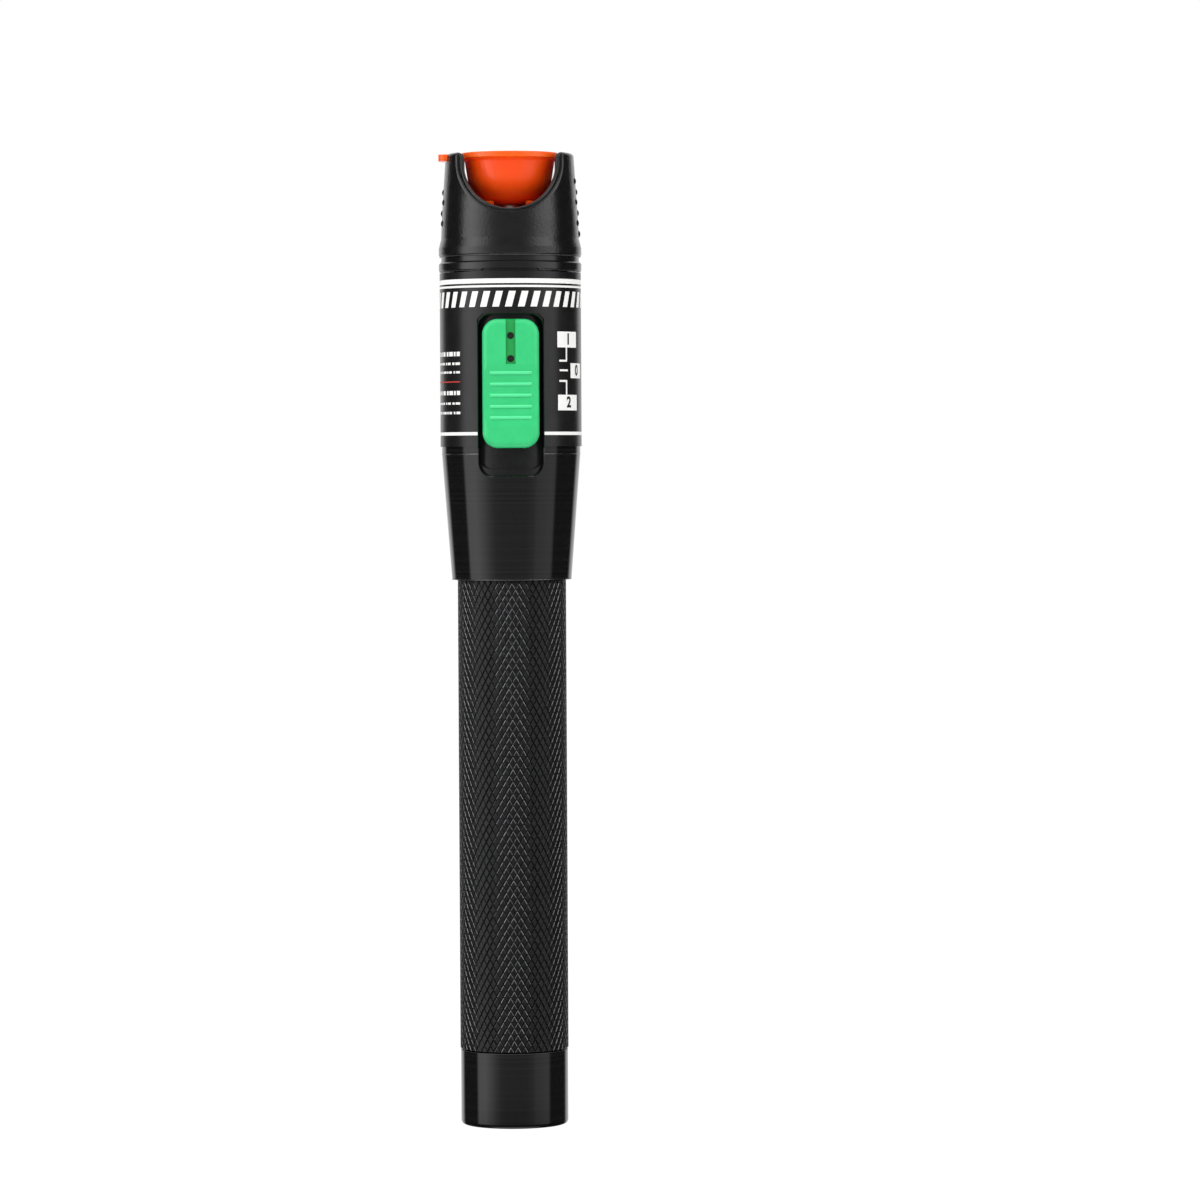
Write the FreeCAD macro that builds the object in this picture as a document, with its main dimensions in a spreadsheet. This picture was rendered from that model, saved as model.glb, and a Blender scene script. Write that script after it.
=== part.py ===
"""Visual fault locator: a pen-shaped red-light source for fibre testing.

Millimetres.  +Z runs up the pen, the origin is the centre of the flat tail face,
and the slide switch faces -Y.
"""

import FreeCAD, Part
import enum
import math
import operator
import os
import Sketcher

Vector = FreeCAD.Vector


# Driving dimensions, in millimetres unless the name says otherwise.
SIZES = {
    # handle tube, which unscrews to change the cells
    "tail_step": 0.08,
    "tail_length": 13.2,
    "tail_edge": 0.8,
    "tail_groove_width": 0.8,
    "tail_groove_depth": 0.2,
    "tail_wall": 3.0,
    "handle_wall": 2.4,
    "edge_break": 0.25,
    "battery_play": 0.5,
    "spigot_step": 0.8,
    "spigot_above_cells": 2.0,
    "spigot_length": 11.3,
    "spigot_lead": 0.5,
    "seal_offset": 0.8,
    "seal_groove_width": 1.1,
    "seal_groove_depth": 0.75,
    "seal_gap": 0.02,
    # cells and tail spring
    "battery_radius": 7.1,
    "battery_length": 50.5,
    "battery_rim": 0.5,
    "nub_radius": 2.6,
    "nub_height": 1.2,
    "spring_length": 6.0,
    "spring_radius": 5.0,
    "spring_wire_radius": 0.45,
    "spring_turns": 3.0,
    # body housing
    "spigot_gap": 0.05,
    "foot_wall": 1.8,
    "housing_bore": 11.25,
    "housing_wall": 1.53,
    "taper_length": 23.1,
    "housing_above_slot": 7.8,
    "shoulder_step": 1.0,
    "key_width": 10.2,
    "key_height": 0.6,
    "seam_gap": 0.2,
    # printed label
    "label_film": 0.25,
    "label_margin": 1.4,
    "label_cut_margin": 0.17,
    "label_cut_corner": 1.05,
    "label_seam": 0.5,
    # switch well and its bezel
    "slot_below_taper": 4.0,
    "slot_corner": 2.4,
    "slot_edge": 0.2,
    "bezel_gap": 0.05,
    "bezel_wall": 1.25,
    "bezel_margin": 2.0,
    "bezel_angle": 84.0,
    "ledge_height": 0.55,
    "ledge_length": 1.15,
    "window_width": 3.2,
    # sliding button
    "button_width": 10.35,
    "button_length": 23.5,
    "button_corner": 2.8,
    "button_proud": 1.4,
    "button_edge": 1.1,
    "button_side_gap": 0.755,
    "button_top_gap": 0.9,
    "button_bottom_gap": 1.1,
    "button_under_gap": 0.1,
    "switch_step": 2.0,
    "channel_width": 1.75,
    "channel_length": 8.2,
    "channel_depth": 0.5,
    "pin_radius": 0.62,
    "pin_gap": 0.03,
    "pin_from_top": 3.05,
    "pin_spacing": 4.2,
    "pin_sunk": 0.15,
    "dish_length": 11.4,
    "dish_depth": 0.45,
    "dish_above_bottom": 9.6,
    "ridge_count": 5.0,
    "ridge_pitch": 2.04,
    "ridge_length": 7.7,
    "ridge_radius": 0.36,
    "ridge_proud": 0.28,
    # carrier behind the button
    "rib_width": 2.6,
    "rib_length": 14.0,
    "rib_gap": 0.2,
    "rib_from_top": 1.75,
    "boss_depth": 1.2,
    "plate_width": 6.4,
    "plate_length": 17.5,
    "plate_wall": 1.2,
    "plate_above_rib": 1.4,
    "plate_gap": 0.07,
    # slide switch on the board
    "lever_width": 2.0,
    "lever_length": 3.0,
    "lever_gap": 0.05,
    "lever_tip_gap": 0.3,
    "lever_foot_width": 5.2,
    "lever_foot_length": 5.5,
    "lever_foot_wall": 1.0,
    "case_width": 8.6,
    "case_length": 13.6,
    "case_depth": 4.6,
    "case_wall": 0.5,
    "case_play": 0.2,
    # circuit board
    "board_inset": 0.7,
    "board_wall": 1.2,
    "board_back": 1.2,
    "board_top_gap": 0.2,
    "chip_width": 3.9,
    "chip_length": 4.9,
    "chip_height": 1.5,
    "chip_leg_length": 1.0,
    "chip_leg_width": 0.4,
    "chip_leg_wall": 0.2,
    "chip_leg_pitch": 1.27,
    "chip_above_holder": 12.0,
    "part_width": 1.25,
    "part_length": 2.0,
    "part_height": 0.8,
    "part_pitch": 3.6,
    "part_above_holder": 5.0,
    # cell contacts at the top of the battery space
    "holder_wall": 2.0,
    "holder_gap": 0.05,
    "ground_wall": 0.3,
    "ground_ring_width": 1.25,
    "contact_boss_radius": 3.4,
    "contact_head_radius": 2.4,
    "contact_head_height": 1.2,
    "contact_stem_radius": 0.8,
    "contact_stem_length": 6.3,
    # chassis that carries the laser module and the board
    "plug_length": 5.1,
    "plug_gap": 0.05,
    "flange_proud": 0.12,
    "flange_length": 1.8,
    "flange_edge": 0.3,
    "neck_depth": 0.45,
    "neck_length": 0.9,
    "boss_inset": 2.95,
    "boss_length": 3.0,
    "leg_gap": 0.95,
    "leg_wall": 2.3,
    "leg_depth": 4.4,
    "leg_front": 4.0,
    "rail_gap": 0.03,
    # laser module
    "barrel_radius": 5.0,
    "barrel_gap": 0.05,
    "barrel_above_plug": 0.3,
    "barrel_flange_radius": 7.0,
    "barrel_flange_wall": 1.0,
    "diode_radius": 2.8,
    "diode_base": 1.2,
    "diode_can_radius": 1.8,
    "diode_can_length": 2.4,
    "diode_gap": 0.04,
    "diode_recess": 0.3,
    "lead_radius": 0.22,
    "lead_length": 5.0,
    "lead_spacing": 2.0,
    "lens_radius": 3.0,
    "lens_edge": 1.0,
    "lens_crown": 0.9,
    "lens_gap": 0.05,
    "lens_seat": 4.6,
    "retainer_roof": 1.0,
    "retainer_bore": 2.0,
    "retainer_slot_width": 0.8,
    "retainer_slot_depth": 0.4,
    "retainer_gap": 0.04,
    "nose_length": 1.9,
    "nose_gap": 0.05,
    "grub_radius": 0.9,
    "grub_length": 4.4,
    "grub_socket_radius": 0.45,
    "grub_socket_depth": 1.2,
    "grub_height": 1.5,
    "grub_gap": 0.03,
    # ferrule port
    "port_flange_radius": 6.5,
    "port_flange_wall": 1.4,
    "port_neck_radius": 3.6,
    "port_neck_length": 3.8,
    "port_radius": 2.4,
    "port_cap_gap": 0.4,
    "port_edge": 0.3,
    "port_lip": 0.5,
    "light_bore": 0.9,
    "ferrule_radius": 1.25,
    "sleeve_radius": 1.6,
    "sleeve_slit": 0.45,
    "sleeve_gap": 0.02,
    "nut_across_flats": 9.0,
    "nut_length": 1.5,
    "nut_gap": 0.02,
    # guard crown
    "guard_base_length": 1.7,
    "guard_edge": 0.4,
    "waist_drop": 0.43,
    "waist_height": 3.4,
    "crown_drop": 0.55,
    "crown_height": 6.6,
    "post_drop": 1.37,
    "post_wall": 2.08,
    "post_edge": 0.7,
    "guard_gap": 0.05,
    "floor_above_flange": 2.0,
    "scoop_radius": 8.7,
    "scoop_side": 2.1,
    "scoop_above_floor": 0.9,
    "notch_width": 5.8,
    "notch_depth": 1.6,
    "pip_radius": 0.9,
    "pip_proud": 0.25,
    "pip_pitch": 3.85,
    "pip_rows": 3.0,
    "pip_lowest": 4.3,
    "pip_angle": 9.0,
    # dust cap and the cradle ring below it
    "cap_rim_gap": 0.5,
    "cap_rim_wall": 0.95,
    "cap_rim_edge": 0.2,
    "cap_above_guard": 0.1,
    "cap_rim_overhang": 1.0,
    "cap_cup_fillet": 0.9,
    "cap_cup_taper": 0.45,
    "cap_waist_depth": 4.8,
    "cap_foot_round": 6.0,
    "cap_foot_radius": 2.6,
    "cap_gap": 0.05,
    "cap_seat_gap": 0.3,
    "cap_top_wall": 1.2,
    "tab_width": 5.2,
    "tab_wall": 1.2,
    "tab_drop": 0.25,
    "tab_proud": 1.35,
    "tab_corner": 1.4,
    "cradle_inner": 5.3,
    "cradle_outer": 6.5,
    "cradle_height": 1.55,
    "cradle_ear_height": 1.3,
    "cradle_ear_angle": 114.0,
}

# How far an outline that cuts runs past the faces that it opens, in millimetres.
PAST = 1.0
CHIP_LEG_ROWS = 4
SCREW_COUNT = 3

# The sketcher's own name for a sketch's origin point.
SKETCH_ORIGIN = (-1, 1)

document = FreeCAD.newDocument("visual_fault_locator")
sheet = document.addObject("Spreadsheet::Sheet", "Size")


class Spot(enum.IntEnum):
    """The sketcher's numbers for the places on an edge."""

    START = 1
    END = 2
    CENTRE = 3


class Length:
    """A number together with the sheet expression that gives it."""

    def __init__(self, value, text):
        self.value = value
        self.text = text

    def __add__(self, other):
        return combine(operator.add, "+", self, other)

    def __radd__(self, other):
        return combine(operator.add, "+", other, self)

    def __sub__(self, other):
        return combine(operator.sub, "-", self, other)

    def __rsub__(self, other):
        return combine(operator.sub, "-", other, self)

    def __mul__(self, other):
        return combine(operator.mul, "*", self, other)

    def __rmul__(self, other):
        return combine(operator.mul, "*", other, self)

    def __truediv__(self, other):
        return combine(operator.truediv, "/", self, other)

    def __neg__(self):
        return 0 - self


def as_length(item):
    """A plain number as a Length."""
    if isinstance(item, Length):
        return item
    return Length(float(item), f"({float(item)!r})")


def combine(work, sign, left, right):
    """Two lengths joined by an arithmetic sign, in number and in text."""
    left = as_length(left)
    right = as_length(right)
    return Length(work(left.value, right.value), f"({left.text} {sign} {right.text})")


def root(length):
    """Square root of a Length."""
    return Length(math.sqrt(length.value), f"sqrt({length.text})")


def leg_of(radius, side):
    """The other leg of the right triangle with this longest side and this leg."""
    return root(radius * radius - side * side)


def fill_sheet():
    """Write every size into the sheet as a plain number with an alias."""
    lengths = {}
    for row, (alias, value) in enumerate(SIZES.items(), start=1):
        sheet.set(f"A{row}", alias)
        sheet.set(f"B{row}", str(value))
        sheet.setAlias(f"B{row}", alias)
        lengths[alias] = Length(float(value), f"Size.{alias}")
    document.recompute()
    return lengths


size = fill_sheet()


def new_body(name):
    """A part design body whose label is the piece's name."""
    body = document.addObject("PartDesign::Body", name)
    body.Label = name
    return body


def bind(item, prop, length):
    """Set a number on an object and tie it to the sheet."""
    item.setExpression(prop, as_length(length).text)


def origin_plane(body, plane):
    """One of the body's own origin planes, by role."""
    for feature in body.Origin.OriginFeatures:
        if feature.Role == plane + "_Plane":
            return feature
    raise ValueError("no origin plane " + plane)


def new_sketch(body, name, plane, offset=None):
    """An empty sketch on an origin plane, moved along the plane's normal by offset."""
    sketch = body.newObject("Sketcher::SketchObject", name)
    sketch.AttachmentSupport = [(origin_plane(body, plane), "")]
    sketch.MapMode = "FlatFace"
    if offset is not None:
        bind(sketch, "AttachmentOffset.Base.z", offset)
    return sketch


def arc_between(start, end, radius, turn):
    """The short arc from start to end, its centre on the side that turn names."""
    chord = end - start
    reach = math.sqrt(max(radius * radius - chord.Length * chord.Length / 4, 0))
    side = Vector(-chord.y, chord.x, 0).normalize()
    if turn == "right":
        side = -side
    centre = start + chord * 0.5 + side * reach
    first = math.atan2(start.y - centre.y, start.x - centre.x)
    last = math.atan2(end.y - centre.y, end.x - centre.x)
    if turn == "right":
        first, last = last, first
    circle = Part.Circle(centre, Vector(0, 0, 1), radius)
    return Part.ArcOfCircle(circle, first, last)


def draw(sketch, path):
    """Draw a closed path.

    Each step is (x, y) for a straight line to that point, or (x, y, radius, turn) for
    an arc to it.  Every corner and radius is tied to the sheet.
    """
    corners = [(as_length(step[0]), as_length(step[1])) for step in path]
    points = [Vector(x.value, y.value, 0) for x, y in corners]
    starts = []
    first_edge = sketch.GeometryCount
    for index, step in enumerate(path):
        start = points[index - 1]
        end = points[index]
        if len(step) == 4:
            shape = arc_between(start, end, as_length(step[2]).value, step[3])
            starts.append(Spot.END if step[3] == "right" else Spot.START)
        else:
            shape = Part.LineSegment(start, end)
            starts.append(Spot.START)
        sketch.addGeometry(shape, False)
    ends = [Spot.START if start == Spot.END else Spot.END for start in starts]
    count = len(path)
    for index in range(count):
        following = (index + 1) % count
        sketch.addConstraint(Sketcher.Constraint(
            "Coincident",
            first_edge + index, ends[index],
            first_edge + following, starts[following],
        ))
    for index, step in enumerate(path):
        edge = first_edge + index
        x, y = corners[index]
        tie(sketch, "DistanceX", x, *SKETCH_ORIGIN, edge, ends[index])
        tie(sketch, "DistanceY", y, *SKETCH_ORIGIN, edge, ends[index])
        if len(step) == 4:
            tie(sketch, "Radius", as_length(step[2]), edge)
    return sketch


def draw_circle(sketch, x, y, radius):
    """Draw a circle whose centre and radius are tied to the sheet."""
    x, y, radius = as_length(x), as_length(y), as_length(radius)
    circle = Part.Circle(Vector(x.value, y.value, 0), Vector(0, 0, 1), radius.value)
    edge = sketch.addGeometry(circle, False)
    tie(sketch, "DistanceX", x, *SKETCH_ORIGIN, edge, Spot.CENTRE)
    tie(sketch, "DistanceY", y, *SKETCH_ORIGIN, edge, Spot.CENTRE)
    tie(sketch, "Radius", radius, edge)
    return sketch


def tie(sketch, kind, length, *places):
    """Add one dimension to a sketch and tie it to the sheet."""
    index = sketch.addConstraint(Sketcher.Constraint(kind, *places, length.value))
    sketch.setExpression(f"Constraints[{index}]", length.text)


def turned(body, name, path, plane="XZ", angle=None):
    """Revolve a path about the Z axis: all the way round, or a centred part of it."""
    sketch = draw(new_sketch(body, name + "_outline", plane), path)
    feature = body.newObject("PartDesign::Revolution", name)
    feature.Profile = sketch
    feature.ReferenceAxis = (sketch, ["V_Axis"])
    if angle is None:
        feature.Angle = 360
    else:
        feature.Midplane = True
        bind(feature, "Angle", angle)
    document.recompute()
    return feature


def turned_cut(body, name, path, plane="XZ"):
    """Cut a revolved path out of the body, all the way round the Z axis."""
    before = body.Shape.Volume
    sketch = draw(new_sketch(body, name + "_outline", plane), path)
    feature = body.newObject("PartDesign::Groove", name)
    feature.Profile = sketch
    feature.ReferenceAxis = (sketch, ["V_Axis"])
    feature.Angle = 360
    document.recompute()
    must_shrink(feature, before)
    return feature


def padded(body, name, sketch, length, reverse=False, middle=False):
    """Push a sketch out along its normal, or against it, or both ways from it."""
    feature = body.newObject("PartDesign::Pad", name)
    feature.Profile = sketch
    feature.Reversed = reverse
    feature.Midplane = middle
    bind(feature, "Length", length)
    document.recompute()
    return feature


def pocketed(body, name, sketch, length, reverse=False, middle=False):
    """Cut a sketch into the body against its normal, along it, or both ways."""
    before = body.Shape.Volume
    feature = body.newObject("PartDesign::Pocket", name)
    feature.Profile = sketch
    feature.Reversed = reverse
    feature.Midplane = middle
    bind(feature, "Length", length)
    document.recompute()
    must_shrink(feature, before)
    return feature


def must_shrink(feature, before):
    """Stop if a cut took nothing away."""
    if feature.Shape.isNull() or feature.Shape.Volume >= before - 1e-6:
        raise RuntimeError(feature.Label + " cuts nothing")


def edges_where(feature, wanted):
    """Names of the feature's edges that satisfy a test."""
    edges = enumerate(feature.Shape.Edges, start=1)
    return [f"Edge{number}" for number, edge in edges if wanted(edge)]


def dressed(body, kind, name, base, prop, length, wanted):
    """Fillet or chamfer the edges of base that satisfy a test."""
    feature = body.newObject("PartDesign::" + kind, name)
    feature.Base = (base, edges_where(base, wanted))
    bind(feature, prop, length)
    document.recompute()
    return feature


def rectangle(left, right, low, high):
    """A path round a rectangle."""
    return [(left, low), (right, low), (right, high), (left, high)]


def rounded_rectangle(half_width, low, high, corner):
    """A path round a rectangle with rounded corners, centred on x = 0."""
    return [
        (-half_width, low + corner),
        (-half_width + corner, low, corner, "left"),
        (half_width - corner, low),
        (half_width, low + corner, corner, "left"),
        (half_width, high - corner),
        (half_width - corner, high, corner, "left"),
        (-half_width + corner, high),
        (-half_width, high - corner, corner, "left"),
    ]


# Heights along the pen, from the tail face up.
rear_cell_bottom = size["tail_wall"] + size["spring_length"]
front_cell_bottom = rear_cell_bottom + size["battery_length"]
cells_top = front_cell_bottom + size["battery_length"]
spigot_top = cells_top + size["spigot_above_cells"]
tube_top = spigot_top - size["spigot_length"]
knurl_start = size["tail_length"] + size["tail_groove_width"]
shoulder_top = spigot_top + size["shoulder_step"]
holder_top = shoulder_top + size["holder_wall"]
taper_top = tube_top + size["taper_length"]
label_bottom = taper_top + size["label_margin"]
slot_bottom = taper_top - size["slot_below_taper"]
switch_travel = size["switch_step"] * 2
button_bottom = slot_bottom + size["button_bottom_gap"] + switch_travel
button_top = button_bottom + size["button_length"]
button_middle = (button_top + button_bottom) / 2
slot_top = button_top + size["button_top_gap"]
housing_top = slot_top + size["housing_above_slot"]
plug_bottom = housing_top + size["seam_gap"] - size["plug_length"]
flange_bottom = housing_top + size["seam_gap"]
flange_top = flange_bottom + size["flange_length"]
guard_bottom = flange_top + size["neck_length"]
boss_top = guard_bottom + size["boss_length"]
barrel_bottom = plug_bottom + size["barrel_above_plug"]
port_bottom = boss_top + size["barrel_flange_wall"]
web_bottom = port_bottom + size["port_flange_wall"]
crown_floor = web_bottom + size["floor_above_flange"]
port_shoulder = web_bottom + size["port_neck_length"]
scoop_bottom = crown_floor + size["scoop_above_floor"]
guard_top = scoop_bottom + size["scoop_radius"] + size["scoop_side"]
cap_top = guard_top + size["cap_above_guard"]
cap_foot = port_shoulder + size["cap_seat_gap"]
port_top = cap_top - size["cap_top_wall"] - size["port_cap_gap"]
sleeve_bottom = port_bottom + size["nose_length"]
sleeve_top = port_top - size["port_lip"]

# Radii and depths that several pieces share.
battery_bore = size["battery_radius"] + size["battery_play"]
handle_radius = battery_bore + size["handle_wall"]
spigot_radius = handle_radius - size["spigot_step"]
thread_bore = spigot_radius + size["spigot_gap"]
foot_radius = thread_bore + size["foot_wall"]
housing_radius = size["housing_bore"] + size["housing_wall"]
label_radius = housing_radius + size["label_film"]
flange_radius = label_radius + size["flange_proud"]
boss_radius = flange_radius - size["boss_inset"]
crown_radius = flange_radius - size["crown_drop"]
post_radius = flange_radius - size["post_drop"]
post_bore = post_radius - size["post_wall"]
bezel_outer = size["housing_bore"] - size["bezel_gap"]
bezel_inner = bezel_outer - size["bezel_wall"]
ledge_radius = bezel_outer + size["ledge_height"]
button_under = ledge_radius + size["button_under_gap"]
button_front = housing_radius + size["button_proud"]
channel_floor = button_front - size["channel_depth"]
boss_face = button_under - size["boss_depth"]
slot_half = size["button_width"] / 2 + size["button_side_gap"]
board_front = size["board_back"] + size["board_wall"]
case_front = board_front + size["case_depth"]
rib_top = button_top - size["rib_from_top"]
rib_bottom = rib_top - size["rib_length"]
plate_front = leg_of(bezel_inner - size["plate_gap"], size["plate_width"] / 2)
plate_back = plate_front - size["plate_wall"]
plug_radius = size["housing_bore"] - size["plug_gap"]
lever_foot_front = case_front - size["case_wall"] - size["case_play"]
lever_foot_back = lever_foot_front - size["lever_foot_wall"]
case_middle = button_middle - switch_travel / 2
diode_seat = barrel_bottom + size["diode_recess"] + size["diode_base"]
lens_bottom = barrel_bottom + size["lens_seat"]
lens_bore = size["lens_radius"] + size["lens_gap"]
lens_crown = size["lens_crown"]
lens_square = size["lens_radius"] * size["lens_radius"]
lens_curve = (lens_square + lens_crown * lens_crown) / (lens_crown * 2)
grub_height = guard_bottom + size["grub_height"]
sleeve_room = size["sleeve_radius"] + size["sleeve_gap"]
leg_outer = size["housing_bore"] - size["leg_gap"]
leg_inner = leg_outer - size["leg_wall"]
board_half = leg_outer - size["board_inset"]


def make_handle_tube():
    """Battery tube with a closed tail and an externally threaded spigot at its mouth."""
    body = new_body("handle_tube")
    tail = handle_radius - size["tail_step"]
    grip = handle_radius
    corner = size["edge_break"]
    spigot = spigot_radius
    seal_low = tube_top + size["seal_offset"]
    seal_high = seal_low + size["seal_groove_width"]
    seal_floor = spigot - size["seal_groove_depth"]
    turned(body, "tube", [
        (0, 0),
        (tail - size["tail_edge"], 0),
        (tail, size["tail_edge"], size["tail_edge"], "left"),
        (tail, size["tail_length"]),
        (tail - size["tail_groove_depth"], size["tail_length"]),
        (tail - size["tail_groove_depth"], knurl_start),
        (grip - corner, knurl_start),
        (grip, knurl_start + corner),
        (grip, tube_top - corner),
        (grip - corner, tube_top),
        (spigot, tube_top),
        (spigot, seal_low),
        (seal_floor, seal_low),
        (seal_floor, seal_high),
        (spigot, seal_high),
        (spigot, spigot_top - size["spigot_lead"]),
        (spigot - size["spigot_lead"], spigot_top),
        (battery_bore, spigot_top),
        (battery_bore, size["tail_wall"]),
        (0, size["tail_wall"]),
    ])
    return body


def make_seal_ring():
    """Rubber ring in the groove at the root of the spigot."""
    ring = document.addObject("Part::Torus", "seal_ring")
    ring.Label = "seal_ring"
    room = size["seal_groove_depth"] + size["spigot_gap"] - size["seal_gap"]
    section = room / 2
    bind(ring, "Radius2", section)
    bind(ring, "Radius1", spigot_radius - size["seal_groove_depth"] + section)
    groove_middle = tube_top + size["seal_offset"] + size["seal_groove_width"] / 2
    bind(ring, "Placement.Base.z", groove_middle)
    return ring


def make_tail_spring():
    """Compression spring that presses the cells towards the head."""
    body = new_body("tail_spring")
    wire = size["spring_wire_radius"]
    sketch = new_sketch(body, "wire_section", "XZ")
    draw_circle(sketch, size["spring_radius"], size["tail_wall"] + wire, wire)
    coil = body.newObject("PartDesign::AdditiveHelix", "coil")
    coil.Profile = sketch
    coil.ReferenceAxis = (sketch, ["V_Axis"])
    coil.Mode = "height-turns-angle"
    rise = size["spring_length"] - 2 * wire
    bind(coil, "Height", rise)
    bind(coil, "Turns", size["spring_turns"])
    bind(coil, "Pitch", rise / size["spring_turns"])
    document.recompute()
    return body


def make_battery(name, bottom):
    """One sealed AA cell, its positive nub towards the head."""
    body = new_body(name)
    radius = size["battery_radius"]
    rim = size["battery_rim"]
    crimp = size["battery_length"] - size["nub_height"]
    turned(body, name + "_can", [
        (0, 0),
        (radius - rim, 0),
        (radius, rim, rim, "left"),
        (radius, crimp - rim),
        (radius - rim, crimp, rim, "left"),
        (size["nub_radius"], crimp),
        (size["nub_radius"], size["battery_length"]),
        (0, size["battery_length"]),
    ])
    bind(body, "Placement.Base.z", bottom)
    return body


def make_body_housing():
    """Anodised aluminium housing with the switch well through its front wall."""
    body = new_body("body_housing")
    corner = size["edge_break"]
    outer = housing_radius
    bore = size["housing_bore"]
    turned(body, "shell", [
        (thread_bore, tube_top),
        (foot_radius - corner, tube_top),
        (foot_radius, tube_top + corner),
        (outer, taper_top),
        (outer, housing_top),
        (bore, housing_top),
        (bore, shoulder_top),
        (thread_bore, shoulder_top),
    ])
    well = new_sketch(body, "well_outline", "XZ")
    draw(well, rounded_rectangle(slot_half, slot_bottom, slot_top, size["slot_corner"]))
    cut = pocketed(body, "well", well, outer * 2, reverse=True)
    dressed(body, "Chamfer", "well_edge", cut, "Size", size["slot_edge"], is_well_rim)

    half_key = size["key_width"] / 2
    key = new_sketch(body, "key_outline", "XY", housing_top)
    draw(key, [
        (-half_key, -leg_of(outer, half_key)),
        (half_key, -leg_of(outer, half_key), outer, "left"),
        (half_key, -leg_of(bore, half_key)),
        (-half_key, -leg_of(bore, half_key), bore, "right"),
    ])
    padded(body, "key", key, size["key_height"])
    return body


def is_well_rim(edge):
    """True for the edges where the switch well meets the housing's outer face."""
    middle = edge.valueAt((edge.FirstParameter + edge.LastParameter) / 2)
    wall = housing_radius.value + size["housing_bore"].value
    radius = math.hypot(middle.x, middle.y)
    in_width = abs(middle.x) < slot_half.value + 1e-6
    in_length = slot_bottom.value - 1e-6 < middle.z < slot_top.value + 1e-6
    return in_width and in_length and middle.y < 0 and radius > wall / 2


def make_label_wrap():
    """Printed film round the housing, cut out for the switch and butted at the back."""
    body = new_body("label_wrap")
    outer = label_radius
    turned(body, "film", rectangle(housing_radius, outer, label_bottom, housing_top))
    half = slot_half + size["label_cut_margin"]
    top = slot_top + size["label_cut_margin"]
    corner = size["label_cut_corner"]
    window = new_sketch(body, "window_outline", "XZ")
    draw(window, [
        (-half, label_bottom - PAST),
        (half, label_bottom - PAST),
        (half, top - corner),
        (half - corner, top),
        (-half + corner, top),
        (-half, top - corner),
    ])
    pocketed(body, "window", window, outer * 2, reverse=True)
    seam_half = size["label_seam"] / 2
    seam = new_sketch(body, "seam_outline", "XZ")
    draw(seam, rectangle(-seam_half, seam_half, label_bottom - PAST, housing_top + PAST))
    pocketed(body, "seam", seam, outer * 2)
    return body


def make_switch_bezel():
    """Saddle plate behind the well: the floor that the button slides over."""
    body = new_body("switch_bezel")
    low = slot_bottom - size["bezel_margin"]
    high = slot_top + size["bezel_margin"]
    path = rectangle(-bezel_outer, -bezel_inner, low, high)
    turned(body, "saddle", path, plane="YZ", angle=size["bezel_angle"])

    half = slot_half - size["bezel_gap"]
    corner = size["slot_corner"]
    ledge_low = slot_bottom + size["bezel_gap"]
    ledge_high = ledge_low + size["ledge_length"]
    ledge_back = leg_of(bezel_inner, half)
    ledge = new_sketch(body, "ledge_outline", "XZ", ledge_back)
    draw(ledge, [
        (-half + corner, ledge_low, corner, "left"),
        (half - corner, ledge_low),
        (half, ledge_low + corner, corner, "left"),
        (half, ledge_high + corner),
        (half - corner, ledge_high, corner, "right"),
        (-half + corner, ledge_high),
        (-half, ledge_high + corner, corner, "right"),
        (-half, ledge_low + corner),
    ])
    padded(body, "ledge", ledge, ledge_radius - ledge_back)
    beyond = ledge_radius + size["ledge_height"]
    turned_cut(body, "ledge_face", rectangle(ledge_radius, beyond * 2, low, high))
    turned_cut(body, "saddle_back", rectangle(0, bezel_inner, low - PAST, high + PAST))

    window = new_sketch(body, "window_outline", "XZ")
    half_window = size["window_width"] / 2
    window_low = rib_bottom - switch_travel - size["rib_gap"]
    window_high = rib_top + size["rib_gap"]
    draw(window, rectangle(-half_window, half_window, window_low, window_high))
    pocketed(body, "window", window, bezel_outer * 2, reverse=True)
    return body


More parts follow.
